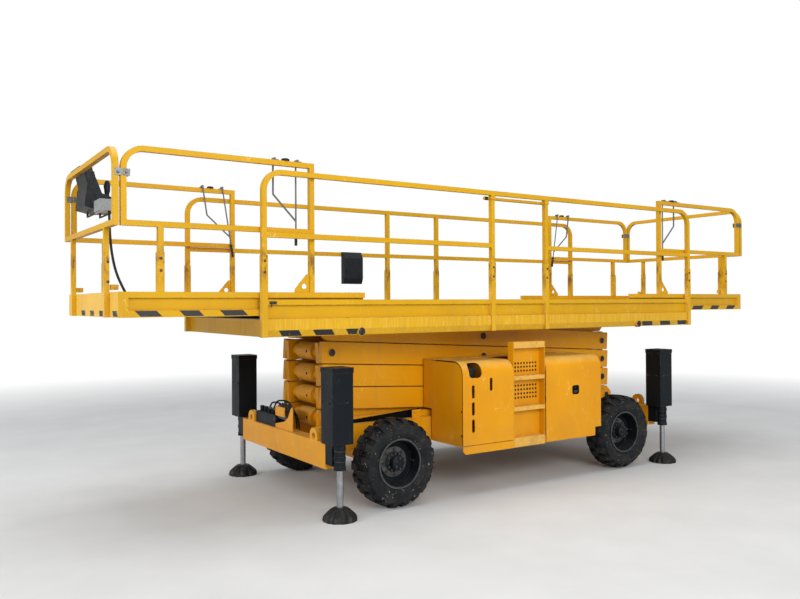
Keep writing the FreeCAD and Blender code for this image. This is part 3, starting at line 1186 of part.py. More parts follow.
# Chassis
save("chassis_frame", chassis_frame())
for end_name, end in ENDS.items():
    save(end_name + "_end_beam", end_beam(end))
corners = [(end, side) for end in ENDS.values() for side in SIDES.values()]
save("outrigger_housings", [outrigger_housing(*c) for c in corners])
save("outrigger_covers", [outrigger_cover(*c) for c in corners])
save("valve_block", valve_block())
save("steer_axle", steer_axle())
save("drive_axle", drive_axle())
save("tray_far", side_tray(False))
save("tray_near", mirrored_y(side_tray(True)))
save("ladder", mirrored_y(ladder()))
engine_x = (BOX_MIDDLE + BOX_SIDE_SPACE, BOX_X[1] - 2 * BOX_SIDE_SPACE)
tank_x = (CHEEK_X[1] + 2 * BOX_SIDE_SPACE, BOX_X[1] - 2 * BOX_SIDE_SPACE)
block_y = (BOX_INNER_Y + BOX_SIDE_SPACE, BOX_FACE_Y - BOX_SIDE_SPACE)
block_low = BOX_SEAM_Z
save("engine", box(engine_x, block_y, (block_low, block_low + ENGINE_SHARE * BOX_H)))
save("hydraulic_tank", mirrored_y(box(tank_x, block_y, (block_low, block_low + TANK_SHARE * BOX_H))))

# Side box hoods
near_lows = (HOOD_LOW_Z, LOW_HOOD_Z)
near_tables = (VENTS, (LATCH_CUP,))
for end_name, near_x, far_x, low_z, table in zip(ENDS, NEAR_HOODS, FAR_HOODS, near_lows, near_tables):
    save("hood_near_" + end_name, mirrored_y(hood(*near_x, low_z, hood_cuts(near_x[0], table))))
    save("hood_far_" + end_name, hood(*far_x, HOOD_LOW_Z, hood_cuts(far_x[0], (LATCH_CUP,))))

# Legs and wheels
for end_name, end in ENDS.items():
    for side_name, side in SIDES.items():
        place = side_name + "_" + end_name
        save("leg_" + place, leg_rod(end, side))
        save("foot_" + place, leg_foot(end, side))
        save("tyre_" + place, tyre(end * HALF_WHEELBASE, side))
        save("rim_" + place, rim(end * HALF_WHEELBASE, side))
for side_name, side in SIDES.items():
    save("knuckle_" + side_name, knuckle(side))

# Scissor pack
for stage in range(1, STAGES + 1):
    save("outer_arm_" + str(stage), outer_arm(stage))
    save("inner_arm_" + str(stage), inner_arm(stage))
save("lift_cylinder_barrel", cylinder_barrel())
save("lift_cylinder_rod", cylinder_rod())

# Platform
save("platform_frame", platform_frame())
save("platform_floor", platform_floor())
save("main_rail_near", main_rail(-1, NEAR_POSTS, True))
save("main_rail_far", main_rail(1, FAR_POSTS, False))
save("gate_bar", gate_bar())
save("document_box", document_box())
for end_name, end in ENDS.items():
    deck = extension_deck()
    rails = extension_rails()
    if end < 0:
        deck = mirrored_x(deck)
        rails = [mirrored_x(r) for r in rails]
    save("extension_deck_" + end_name, deck)
    save("extension_rails_" + end_name, rails)
    save("levers_" + end_name, [lever(end, SIDES["near"], 0.0), lever(end, SIDES["far"], FAR_LEVER_LEAN)])
save("control_box", control_box())
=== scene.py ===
import json
import math

import bmesh
import bpy
from mathutils import Matrix, Vector


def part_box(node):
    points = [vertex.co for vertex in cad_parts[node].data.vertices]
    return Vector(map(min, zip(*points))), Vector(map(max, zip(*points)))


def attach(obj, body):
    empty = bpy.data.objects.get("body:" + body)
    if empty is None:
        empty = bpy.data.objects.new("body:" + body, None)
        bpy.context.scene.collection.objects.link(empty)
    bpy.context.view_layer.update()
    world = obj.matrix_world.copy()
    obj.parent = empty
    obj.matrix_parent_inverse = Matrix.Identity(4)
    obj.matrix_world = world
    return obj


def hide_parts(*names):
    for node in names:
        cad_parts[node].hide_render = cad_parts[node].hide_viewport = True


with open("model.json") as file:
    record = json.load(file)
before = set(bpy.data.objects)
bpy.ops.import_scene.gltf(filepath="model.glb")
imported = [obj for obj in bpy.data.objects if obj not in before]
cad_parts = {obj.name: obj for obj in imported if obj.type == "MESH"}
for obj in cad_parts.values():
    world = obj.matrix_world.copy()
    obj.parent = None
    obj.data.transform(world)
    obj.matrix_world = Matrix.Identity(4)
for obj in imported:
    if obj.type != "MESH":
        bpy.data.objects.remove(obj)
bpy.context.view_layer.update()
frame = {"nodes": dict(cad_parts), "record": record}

nodes = frame["nodes"]
scene = bpy.context.scene


def link_object(name, data):
    made = bpy.data.objects.new(name, data)
    scene.collection.objects.link(made)
    return made


# Camera, as fitted to the photograph
CAM_PLACE = (-5.1459, -6.6163, 1.7742)
CAM_YAW = math.radians(56.461)
CAM_PITCH = math.radians(0.324)
CAM_ROLL = math.radians(-0.3076)
CAM_LENS = 34.72
SENSOR = 36.0


def make_camera():
    level_part = math.cos(CAM_PITCH)
    forward = Vector((math.cos(CAM_YAW) * level_part, math.sin(CAM_YAW) * level_part,
                      math.sin(CAM_PITCH)))
    level = Vector((math.sin(CAM_YAW), -math.cos(CAM_YAW), 0))
    top = level.cross(forward)
    right = level * math.cos(CAM_ROLL) + top * math.sin(CAM_ROLL)
    up = top * math.cos(CAM_ROLL) - level * math.sin(CAM_ROLL)
    data = bpy.data.cameras.new("photo_camera")
    data.lens = CAM_LENS
    data.sensor_width = SENSOR
    data.clip_end = 200
    camera = link_object("photo_camera", data)
    turn = Matrix((right, up, -forward)).transposed().to_4x4()
    camera.matrix_world = Matrix.Translation(CAM_PLACE) @ turn
    scene.camera = camera


# Material helpers
class NodeTree:
    """Adds nodes to the tree of a material or world and links them."""

    def __init__(self, owner):
        owner.use_nodes = True
        self.tree = owner.node_tree

    def add(self, kind, sockets=None, **settings):
        """A new node with its settings, fed with a value or a link for each socket named."""
        node = self.tree.nodes.new(kind)
        for key, value in settings.items():
            setattr(node, key, value)
        for key, value in (sockets or {}).items():
            self.feed(node, key, value)
        return node

    def feed(self, node, key, value):
        socket = node.inputs[key]
        if isinstance(value, bpy.types.NodeSocket):
            self.tree.links.new(value, socket)
        else:
            socket.default_value = value

    def blend(self, share, first, second):
        """A mixture of two shaders."""
        return self.add("ShaderNodeMixShader", {0: share, 1: first, 2: second}).outputs[0]


class Shader(NodeTree):
    """A material with a principled surface, made of noises over the object's own coordinates."""

    def __init__(self, name):
        self.material = bpy.data.materials.new(name)
        super().__init__(self.material)
        self.bsdf = self.tree.nodes["Principled BSDF"]
        self.place = self.add("ShaderNodeTexCoord").outputs["Object"]

    def noise(self, scale, detail, rough, stretch=None):
        """One noise, which stretch can draw out along an axis."""
        vector = self.place
        if stretch:
            vector = self.add("ShaderNodeMapping", {"Vector": vector, "Scale": stretch}).outputs[0]
        sockets = {"Vector": vector, "Scale": scale, "Detail": detail, "Roughness": rough}
        return self.add("ShaderNodeTexNoise", sockets).outputs[0]

    def ramp(self, value, low, high, low_out=0.0, high_out=1.0):
        """low_out at the low value, high_out at the high one, and straight between."""
        sockets = {"Value": value, "From Min": low, "From Max": high, "To Min": low_out, "To Max": high_out}
        return self.add("ShaderNodeMapRange", sockets).outputs[0]

    def patches(self, noise, cut, out=(0.0, 1.0)):
        """Patches of a noise, given as its settings, cut between two of its values."""
        return self.ramp(self.noise(*noise), *cut, *out)

    def math(self, operation, first, *others):
        """One operation over all the values in turn."""
        for other in others:
            first = self.add("ShaderNodeMath", {0: first, 1: other}, operation=operation).outputs[0]
        return first

    def times(self, *values):
        return self.math("MULTIPLY", *values)

    def mix(self, factor, a, b):
        """A mixture of two colours, each a tuple or a link."""
        a, b = ((*value, 1.0) if isinstance(value, tuple) else value for value in (a, b))
        return self.add("ShaderNodeMix", {0: factor, 6: a, 7: b}, data_type="RGBA").outputs[2]

    def parts(self, vector):
        """The X, Y and Z of a vector."""
        return self.add("ShaderNodeSeparateXYZ", {0: vector}).outputs

    def normal(self):
        return self.parts(self.add("ShaderNodeTexCoord").outputs["Normal"])

    def facing(self, index):
        """How squarely the surface faces along one axis, either way."""
        return self.math("ABSOLUTE", self.normal()[index], 0.0)

    def upward(self):
        """How squarely the surface faces up."""
        return self.normal()[2]

    def height(self, low, high):
        """0 at the low level and 1 at the high one."""
        return self.ramp(self.parts(self.place)[2], low, high)

    def edges(self, radius):
        """1 on the convex edges of the shape, 0 on its flats."""
        soft = self.add("ShaderNodeBevel", {"Radius": radius}, samples=4).outputs[0]
        flat = self.add("ShaderNodeNewGeometry").outputs["Normal"]
        dot = self.add("ShaderNodeVectorMath", {0: soft, 1: flat}, operation="DOT_PRODUCT")
        return self.ramp(dot.outputs["Value"], 0.98, 0.80)

    def bump(self, value, strength, distance):
        node = self.add("ShaderNodeBump", {"Height": value, "Strength": strength, "Distance": distance})
        self.feed(self.bsdf, "Normal", node.outputs[0])

    def finish(self, colour, rough, metallic=0.0, shine=0.5):
        self.feed(self.bsdf, "Base Color", colour)
        self.feed(self.bsdf, "Roughness", rough)
        self.feed(self.bsdf, "Metallic", metallic)
        self.feed(self.bsdf, "Specular IOR Level", shine)
        return self.material


# Levels between which the paint is dusty, painted paler as lit, streaked, splashed or stained, in metres
END_PANEL_FOOT = (1.62, 1.68)
END_PANEL_TOP = (1.96, 1.88)
SILL_BAND_TOP = (1.662, 1.655)
SILL_BAND_FOOT = (1.515, 1.53)
SPLASH_TOP = (0.72, 0.30)
SOCKET_FOOT = (1.90, 2.10)
SOCKET_TOP = (2.24, 2.15)
# How much darker than the dirt colour the downward faces are made: painted shade mixed with dirt
UNDER_SHADE_AND_GRIME = 0.45


def add_end_dust_and_band_light(s, colour, pale):
    """Dust on the end panels, and pale streaks down the platform's lower sill band over a paler tone painted
    there as the light the band catches.
    """
    share = s.times(s.facing(0), s.patches((3.5, 5.0, 0.6), (0.25, 0.75), (0.35, 0.8)),
                    s.height(*END_PANEL_FOOT), s.height(*END_PANEL_TOP))
    colour = s.mix(share, colour, pale)
    # Painted light: the lower sill band is made paler overall, with pale streaks down it
    band = s.times(s.height(*SILL_BAND_TOP), s.height(*SILL_BAND_FOOT))
    lines = s.patches((60.0, 3.0, 0.6, (1.0, 1.0, 0.05)), (0.45, 0.62), (0.05, 0.32))
    return s.mix(s.times(band, lines), colour, pale)


def add_film(s, colour, film):
    """Dust that settles on top faces, and long thin scratches."""
    tops = s.ramp(s.upward(), 0.35, 0.95)
    settled = s.patches((8.0, 5.0, 0.65), (0.30, 0.70), (0.15, 0.65))
    colour = s.mix(s.times(tops, settled), colour, film)
    middle = s.math("SUBTRACT", s.noise(2.6, 2.0, 0.5, (3.0, 3.0, 1.0)), 0.5)
    lines = s.ramp(s.math("ABSOLUTE", middle, 0.0), 0.0, 0.006, 1.0, 0.0)
    return s.mix(s.times(lines, s.patches((4.0, 3.0, 0.55), (0.50, 0.58), (0.0, 0.45))), colour, film)


def add_dirt_and_shade(s, colour, dirt):
    """Streaks, scuffs, road splash low down, dirty corners, and painted shade mixed with dirt on the downward
    faces.
    """
    streaks = s.patches((11.0, 4.0, 0.6, (1.0, 1.0, 0.08)), (0.56, 0.72))
    colour = s.mix(s.times(streaks, 0.16), colour, dirt)
    scuffs = s.patches((9.0, 6.0, 0.7, (1.0, 1.0, 2.5)), (0.62, 0.74))
    colour = s.mix(s.times(scuffs, 0.22), colour, dirt)
    splash = s.times(s.height(*SPLASH_TOP), s.patches((6.0, 5.0, 0.65), (0.40, 0.70)))
    colour = s.mix(s.times(splash, 0.28), colour, dirt)
    corners = s.times(s.edges(0.012), s.patches((16.0, 5.0, 0.7), (0.42, 0.60)))
    colour = s.mix(s.times(corners, 0.35), colour, dirt)
    # Painted shade: downward faces darkened in patches, from the dirt colour
    shaded_undersides = s.ramp(s.upward(), -0.45, -0.95)
    shade_and_grime = s.patches((7.0, 5.0, 0.65), (0.30, 0.62), (0.25, 0.75))
    return s.mix(s.times(shaded_undersides, shade_and_grime), colour, tuple(UNDER_SHADE_AND_GRIME * c for c in dirt))


def worn_share(s, rust_amount):
    """Where the paint is chipped or flaked off its edges, or has a rust speck."""
    chips = s.times(s.edges(0.004), s.patches((38.0, 4.0, 0.7), (0.52, 0.62)))
    flakes = s.times(s.edges(0.010), s.patches((17.0, 5.0, 0.75), (0.54, 0.60), (0.0, 0.8)))
    specks = s.times(s.patches((24.0, 5.0, 0.75), (0.71, 0.76)), rust_amount)
    return s.math("MAXIMUM", chips, flakes, specks)


def add_stain(s, colour, stain):
    """Brown runs where the rails' posts stand in their sockets."""
    sockets = s.times(s.height(*SOCKET_FOOT), s.height(*SOCKET_TOP))
    runs = s.patches((16.0, 5.0, 0.7, (1.0, 1.0, 0.35)), (0.47, 0.57))
    return s.mix(s.times(sockets, runs, 0.75), colour, stain)


def paint(name, base, shade, wear, dirt, film, rust_amount=0.5, gloss=0.42, shine=0.2, pale=None,
          stain=None):
    """Worn paint, from its fading up to its chips."""
    s = Shader(name)
    colour = s.mix(s.patches((1.7, 4.0, 0.55), (0.3, 0.7)), base, shade)
    if pale:
        colour = add_end_dust_and_band_light(s, colour, pale)
    colour = add_dirt_and_shade(s, add_film(s, colour, film), dirt)
    worn = worn_share(s, rust_amount)
    colour = s.mix(worn, colour, wear)
    if stain:
        colour = add_stain(s, colour, stain)
    waves = s.times(s.noise(2.2, 2.0, 0.55), 6.0)
    s.bump(s.math("ADD", s.noise(160.0, 2.0, 0.55), waves), 0.12, 0.0015)
    flats = s.patches((5.0, 4.0, 0.55), (0.3, 0.7), (gloss - 0.06, gloss + 0.1))
    return s.finish(colour, s.math("ADD", flats, s.times(worn, 0.3)), shine=shine)


def plain(name, base, shade, scale, rough, metallic=0.0, bump=0.15, dust=None, dust_cut=(0.4, 0.75),
          shine=0.5):
    """A two-tone surface with grain and optional dust."""
    s = Shader(name)
    colour = s.mix(s.patches((scale, 5.0, 0.6), (0.32, 0.68)), base, shade)
    if dust:
        colour = s.mix(s.patches((scale * 2.7, 6.0, 0.7), dust_cut, (0.0, 0.6)), colour, dust)
    s.bump(s.noise(scale * 22, 3.0, 0.55), bump, 0.001)
    spread = s.patches((scale * 3, 3.0, 0.55), (0.3, 0.7), (rough - 0.08, rough + 0.12))
    return s.finish(colour, spread, metallic, shine)


def tyre_rubber(name, base, shade, dust, speck):
    """Black rubber with dusty patches and small pale specks."""
    s = Shader(name)
    colour = s.mix(s.patches((7.0, 5.0, 0.6), (0.32, 0.68)), base, shade)
    colour = s.mix(s.patches((11.0, 6.0, 0.7), (0.46, 0.80), (0.0, 0.22)), colour, dust)
    colour = s.mix(s.patches((52.0, 2.0, 0.6), (0.685, 0.72), (0.0, 0.8)), colour, speck)
    s.bump(s.noise(120.0, 3.0, 0.55), 0.4, 0.001)
    return s.finish(colour, s.patches((20.0, 3.0, 0.55), (0.3, 0.7), (0.55, 0.8)), shine=0.22)


def moulded(s, colour, dirt, dirt_share, shine):
    """The grain, gloss and faint dirt that the console and the levers share."""
    colour = s.mix(s.patches((14.0, 5.0, 0.6), (0.32, 0.68), (0.0, dirt_share)), colour, dirt)
    s.bump(s.noise(200.0, 2.0, 0.55), 0.1, 0.001)
    spread = s.patches((30.0, 3.0, 0.55), (0.3, 0.7), (0.38, 0.52))
    return s.finish(colour, spread, shine=shine)


# The top of the rubber grips on the levers
GRIP_TOP = 2.386


def split_tone(name, above, below, level):
    """One colour above a level and another below it."""
    s = Shader(name)
    colour = s.mix(s.height(level - 0.001, level + 0.001), below, above)
    return moulded(s, colour, (0.08, 0.078, 0.07), 0.2, 0.3)


# Where the console's own box begins along Y, and its stick's foot: its level and its X
SHELL_Y = (0.238, 0.242)
STICK_FOOT_Z = (2.704, 2.706)
STICK_X = (-3.661, -3.659)


def console_shell(name, shell, black):
    """Grey console shell with black cheeks, underside, back and stick."""
    s = Shader(name)
    x, y, z = s.parts(s.place)
    body = s.ramp(y, *SHELL_Y)
    sides = s.times(body, s.ramp(s.facing(1), 0.6, 0.7))
    outer = s.times(body, s.ramp(s.upward(), 0.7, 0.6))
    stick = s.times(s.ramp(z, *STICK_FOOT_Z), s.ramp(x, *STICK_X))
    dark = s.math("MAXIMUM", sides, outer, stick)
    return moulded(s, s.mix(dark, shell, black), (0.10, 0.098, 0.09), 0.15, 0.25)


def scraped(name, base, under, dirt, rough, share):
    """Black marking film with worn patches that show the paint under it."""
    s = Shader(name)
    bare = s.patches((34.0, 6.0, 0.72), (share, share + 0.05))
    colour = s.mix(s.patches((5.0, 4.0, 0.55), (0.35, 0.65), (0.0, 0.3)), base, dirt)
    s.bump(s.noise(120.0, 2.0, 0.55), 0.1, 0.0006)
    return s.finish(s.mix(bare, colour, under), s.ramp(bare, 0.0, 1.0, rough, rough + 0.15))


def tread(name, base, bright, dirt):
    """Step plate: painted, walked bright on its raised grain."""
    s = Shader(name)
    grain = (95.0, 4.0, 0.8)
    grit = s.patches(grain, (0.44, 0.62))
    colour = s.mix(s.times(grit, 0.75), base, bright)
    colour = s.mix(s.patches((9.0, 5.0, 0.7), (0.50, 0.72), (0.0, 0.7)), colour, dirt)
    s.bump(s.noise(*grain), 0.5, 0.002)
    return s.finish(colour, s.ramp(grit, 0.0, 1.0, 0.65, 0.42))


# Colours that several finishes share
YELLOW = (0.70, 0.385, 0.005)
YELLOW_SHADE = (0.61, 0.320, 0.004)
YELLOW_DUST = (0.90, 0.55, 0.10)
PALE_FILM = (0.92, 0.63, 0.20)
GREY_FILM = (0.055, 0.056, 0.056)
AMBER = (0.80, 0.345, 0.003)
AMBER_SHADE = (0.70, 0.285, 0.003)
RUST = (0.13, 0.05, 0.02)
STAIN = (0.11, 0.048, 0.022)
ROAD = (0.36, 0.24, 0.10)
DUST = (0.15, 0.13, 0.105)
SLATE = (0.0065, 0.0095, 0.0130)
SLATE_SHADE = (0.0045, 0.0065, 0.0090)
finishes = {
    "yellow_paint": paint(
        "yellow_paint", YELLOW, YELLOW_SHADE, RUST, ROAD, PALE_FILM, pale=YELLOW_DUST, stain=STAIN),
    "amber_paint": paint(
        "amber_paint", AMBER, AMBER_SHADE, RUST, ROAD, PALE_FILM, rust_amount=0.35, gloss=0.34),
    "black_paint": paint(
        "slate_paint", SLATE, SLATE_SHADE, (0.13, 0.13, 0.13),
        (0.028, 0.030, 0.032), GREY_FILM, rust_amount=0.25, shine=0.14),
    "tyre": tyre_rubber(
        "tyre_rubber", (0.0055, 0.0070, 0.0082), (0.010, 0.011, 0.012), DUST, (0.40, 0.38, 0.35)),
    "rubber": plain(
        "pad_rubber", (0.005, 0.0055, 0.006), (0.009, 0.009, 0.009), 12.0, 0.45,
        dust=(0.03, 0.028, 0.025), shine=0.25),
    "bare_steel": plain("polished_rod", (0.42, 0.43, 0.45), (0.30, 0.31, 0.33), 14.0, 0.30, 1.0, 0.05),
    "floor_steel": plain(
        "deck_plate", (0.30, 0.30, 0.30), (0.20, 0.19, 0.18), 6.0, 0.5, 0.6, dust=(0.20, 0.17, 0.13)),
    "grey_box": plain(
        "console_grey", (0.36, 0.375, 0.39), (0.29, 0.30, 0.315), 12.0, 0.45, dust=DUST,
        dust_cut=(0.55, 0.75)),
    "console": console_shell("console_shell", (0.30, 0.315, 0.33), (0.006, 0.007, 0.010)),
    "lever": split_tone("lever_steel", (0.14, 0.145, 0.15), (0.008, 0.009, 0.011), GRIP_TOP),
    "dark_plastic": plain(
        "dark_plastic", (0.010, 0.012, 0.016), (0.017, 0.019, 0.024), 14.0, 0.45,
        dust=(0.03, 0.03, 0.03), shine=0.15),
    "cast": plain(
        "dark_casting", (0.012, 0.013, 0.015), (0.024, 0.023, 0.023), 9.0, 0.45, dust=(0.08, 0.07, 0.06),
        dust_cut=(0.48, 0.75)),
    "zinc": plain(
        "zinc_plated", (0.24, 0.26, 0.25), (0.11, 0.12, 0.115), 60.0, 0.36, 0.6, 0.3, dust=(0.08, 0.07, 0.05),
        dust_cut=(0.5, 0.75)),
    "rusty_bolt": plain("rusty_bolt", (0.15, 0.08, 0.04), (0.07, 0.045, 0.03), 60.0, 0.6, 0.2, 0.3),
    "marking": scraped("black_marking", (0.012, 0.013, 0.016), YELLOW, (0.05, 0.045, 0.04), 0.5, 0.64),
    "worn_marking": scraped(
        "worn_black_marking", (0.018, 0.018, 0.020), YELLOW_DUST, (0.10, 0.08, 0.06), 0.6, 0.58),
    "step_tread": tread("step_tread", (0.70, 0.34, 0.012), (0.90, 0.62, 0.20), (0.40, 0.22, 0.05)),
    "cap_metal": plain(
        "black_cap", (0.008, 0.009, 0.011), (0.018, 0.018, 0.018), 30.0, 0.38, dust=(0.07, 0.06, 0.05),
        dust_cut=(0.55, 0.75)),
    # Near-black: painted shade in holes and recesses, and the black seam strips at the box's end
    "hollow": plain(
        "shade_and_seam_black", (0.003, 0.003, 0.0035), (0.006, 0.006, 0.006), 20.0, 0.85, shine=0.05),
    # Light grey metal, also used as painted glints and highlights on the hubs, rims and housings
    "clear_rim": plain(
        "scuffed_rim_and_glint", (0.075, 0.078, 0.085), (0.030, 0.031, 0.034), 26.0, 0.36, 0.4, dust=DUST),
}
# Nodes whose look differs from the rest of their slot
FINISH_OF = {"gate_bar": "yellow_paint", "levers_left": "lever", "levers_right": "lever",
             "control_box": "console", "left_end_beam": "amber_paint", "right_end_beam": "amber_paint",
             "steer_axle": "amber_paint", "drive_axle": "amber_paint", "ladder": "amber_paint"}
AMBER_STARTS = ("hood_", "tray_", "outer_arm_", "inner_arm_", "chassis_")


def finish_for(part):
    """The finish of a node: its own, the machine's amber body paint, or its slot's."""
    node = part["node"]
    if node in FINISH_OF:
        return FINISH_OF[node]
    if node.startswith(AMBER_STARTS):
        return "amber_paint"
    return part["material_slot"]


def dress_nodes():
    for part in frame["record"]["subparts"]:
        mesh = nodes[part["node"]].data
        mesh.materials.clear()
        mesh.materials.append(finishes[finish_for(part)])


# Both ways along an axis
BOTH = (-1, 1)


# Mesh helpers
def new_object(name, data, finish):
    """An object with one finish, in the scene."""
    data.materials.append(finish)
    return link_object(name, data)


def new_piece(name, bm, body, slot, smooth=False):
    """A mesh piece that rides on a body."""
    mesh = bpy.data.meshes.new(name)
    bmesh.ops.recalc_face_normals(bm, faces=bm.faces)
    for face in bm.faces:
        face.smooth = smooth
    bm.to_mesh(mesh)
    bm.free()
    piece = new_object(name, mesh, finishes[slot])
    if smooth:
        mesh.set_sharp_from_angle(angle=math.radians(35))
    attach(piece, body)
    return piece


def round_points(count, radius, turn=0.0):
    """Points spaced evenly round a circle, as pairs; turn is a share of one step."""
    steps = (2 * math.pi * (i + turn) / count for i in range(count))
    return [(radius * math.cos(a), radius * math.sin(a)) for a in steps]


def across_axis(axis):
    """An axis at unit length and the two directions square to it."""
    along = Vector(axis).normalized()
    side = along.orthogonal().normalized()
    return along, side, along.cross(side)


def join_rings(bm, low, high):
    """Faces between two closed rings of vertices."""
    for i in range(len(low)):
        j = (i + 1) % len(low)
        bm.faces.new((low[i], low[j], high[j], high[i]))


def add_skin(bm, rings):
    """Faces along a row of rings, closed at both ends."""
    for low, high in zip(rings, rings[1:]):
        join_rings(bm, low, high)
    bm.faces.new(rings[0][::-1])
    bm.faces.new(rings[-1])


def add_plate(bm, corners, push):
    """A thin plate from the corners of one face and the way it is pushed to its other face."""
    spots = [Vector(corner) for corner in corners]
    low = [bm.verts.new(spot) for spot in spots]
    high = [bm.verts.new(spot + Vector(push)) for spot in spots]
    add_skin(bm, [low, high])


# The cuts along the edges of blocks
BANK_CUT = 0.004
BLOCK_CUT = 0.002
PLATE_CUT = 0.0015
CLAMP_CUT = 0.0012
SEAM_CUT = 0.0005
FILM_CUT = 0.0003


def add_block(bm, x_span, y_span, z_span, cut=BLOCK_CUT):
    """A block over three spans, each given either way round, with its edges cut."""
    spans = [sorted(span) for span in (x_span, y_span, z_span)]
    size = [high - low for low, high in spans]
    middle = [(low + high) / 2 for low, high in spans]
    place = Matrix.Translation(middle) @ Matrix.Diagonal((*size, 1))
    made = bmesh.ops.create_cube(bm, size=1.0, matrix=place)
    edges = {edge for vert in made["verts"] for edge in vert.link_edges}
    bmesh.ops.bevel(bm, geom=list(edges), offset=cut, segments=2, affect="EDGES")


def add_turned(bm, foot, axis, profile, sides=24):
    """A turned form: (radius, height) pairs round an axis, closed at both ends."""
    along, side, third = across_axis(axis)
    rings = []
    for radius, height in profile:
        centre = Vector(foot) + along * height
        rings.append([bm.verts.new(centre + side * a + third * b) for a, b in round_points(sides, radius)])
    add_skin(bm, rings)


# Bolts, by half the width of their heads
WHEEL_NUT = 0.0145
CLAMP_BOLT = 0.010
LARGE_BOLT = 0.008
MIDDLE_BOLT = 0.007
HUB_BOLT = 0.0065
SMALL_BOLT = 0.006


def add_bolt(bm, spot, axis, r):
    """A washer and a hexagon head with cut corners."""
    add_turned(bm, spot, axis, ((r * 1.45, 0), (r * 1.45, r * 0.2), (r * 1.3, r * 0.28)), 16)
    add_turned(bm, spot, axis, ((r, r * 0.1), (r, r * 0.85), (r * 0.86, r * 1.0)), 6)


def add_ring(bm, foot, axis, inner, outer, thick, sides=32):
    """A flat ring with a rounded outer edge."""
    along, side, third = across_axis(axis)
    section = ((inner, 0), (outer, 0), (outer + thick * 0.3, thick / 2), (outer, thick), (inner, thick))
    rings = []
    for a, b in round_points(sides, 1.0):
        out = side * a + third * b
        rings.append([bm.verts.new(Vector(foot) + out * r + along * h) for r, h in section])
    for i in range(sides):
        join_rings(bm, rings[i], rings[(i + 1) % sides])


def add_bar(bm, points, radius, sides=12):
    """A round bar through a line of points."""
    spots = [Vector(p) for p in points]
    rings = []
    side = (spots[1] - spots[0]).orthogonal()
    for i, spot in enumerate(spots):
        before = spots[max(i - 1, 0)]
        after = spots[min(i + 1, len(spots) - 1)]
        along = (after - before).normalized()
        side = (side - along * side.dot(along)).normalized()
        third = along.cross(side)
        rings.append([bm.verts.new(spot + side * a + third * b) for a, b in round_points(sides, radius)])
    add_skin(bm, rings)


def smooth_line(points, steps=8):
    """Points on a smooth curve through given ones."""
    spots = [Vector(p) for p in points]
    line = []
    for i in range(len(spots) - 1):
        a = spots[max(i - 1, 0)]
        b, c = spots[i], spots[i + 1]
        d = spots[min(i + 2, len(spots) - 1)]
        for k in range(steps):
            t = k / steps
            line.append(0.5 * (2 * b + (c - a) * t + (2 * a - 5 * b + 4 * c - d) * t ** 2
                               + (3 * b - a - 3 * c + d) * t ** 3))
    line.append(spots[-1])
    return line


# Places taken from the frame, in metres
SIDES = {"near": -1, "far": 1}
ENDS = {"left": -1, "right": 1}
DECK_LOW, DECK_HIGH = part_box("extension_deck_left")
BOX_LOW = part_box("tray_near")[0]
PIN_X = 1.7836
PIN_LEVELS = (0.712, 0.9191, 1.1262, 1.3333, 1.5404)
STAGES = (1, 2, 3, 4)
ARM_FACE_Y = 0.419

# Control cable: it leaves the console's side box and hangs to the deck's plate
CABLE_ROUTE = (
    (-3.616, 0.060, 2.562), (-3.616, 0.055, 2.420), (-3.604, 0.045, 2.220), (-3.570, 0.030, 2.040),
    (-3.510, 0.012, 1.900), (-3.450, 0.000, 1.780), (-3.425, -0.005, 1.699))
CABLE_D = 0.022


def make_cable():
    curve = bpy.data.curves.new("control_cable", "CURVE")
    curve.dimensions = "3D"
    curve.bevel_depth = CABLE_D / 2
    curve.bevel_resolution = 4
    curve.use_fill_caps = True
    spline = curve.splines.new("NURBS")
    spline.points.add(len(CABLE_ROUTE) - 1)
    for point, spot in zip(spline.points, CABLE_ROUTE):
        point.co = (*spot, 1.0)
    spline.order_u = 3
    spline.use_endpoint_u = True
    spline.resolution_u = 12
    cable = new_object("control_cable", curve, finishes["rubber"])
    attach(cable, "extension_left")


# Stripes: where each begins along X or from the deck's end, and its length
MAIN_MARKS = (
    (-2.550, 0.177), (-2.245, 0.177), (-1.935, 0.160), (1.843, 0.172), (2.153, 0.176), (2.463, 0.165))
EXTENSION_MARKS = ((0.113, 0.158), (0.439, 0.150), (0.753, 0.190))
END_MARKS = (0.74, 0.29, -0.04, -0.37, -0.80)
END_MARK_HALF = 0.068
END_MARK_LEAN = 0.01
MARK_SLANT = 0.042
MARK_T = 0.0008
SILL_TOP = (0.945, 1.566)
SILL_FOOT = (0.917, 1.518)
DECK_MARK_Z = (DECK_LOW[2] + 0.006, DECK_LOW[2] + 0.049)


def add_mark(bm, start, length, slant, side, top, foot):
    """One slanted stripe on a side face; top and foot are its edges' Y and Z."""
    corners = [(start, side * top[0], top[1]), (start + length, side * top[0], top[1]),
               (start + length + slant, side * foot[0], foot[1]), (start + slant, side * foot[0], foot[1])]
    add_plate(bm, corners, (0, side * MARK_T, 0))


def make_main_markings():
    bm = bmesh.new()
    for side in BOTH:
        for start, length in MAIN_MARKS:
            add_mark(bm, start, length, MARK_SLANT, side, SILL_TOP, SILL_FOOT)
    new_piece("main_edge_markings", bm, "platform", "marking")


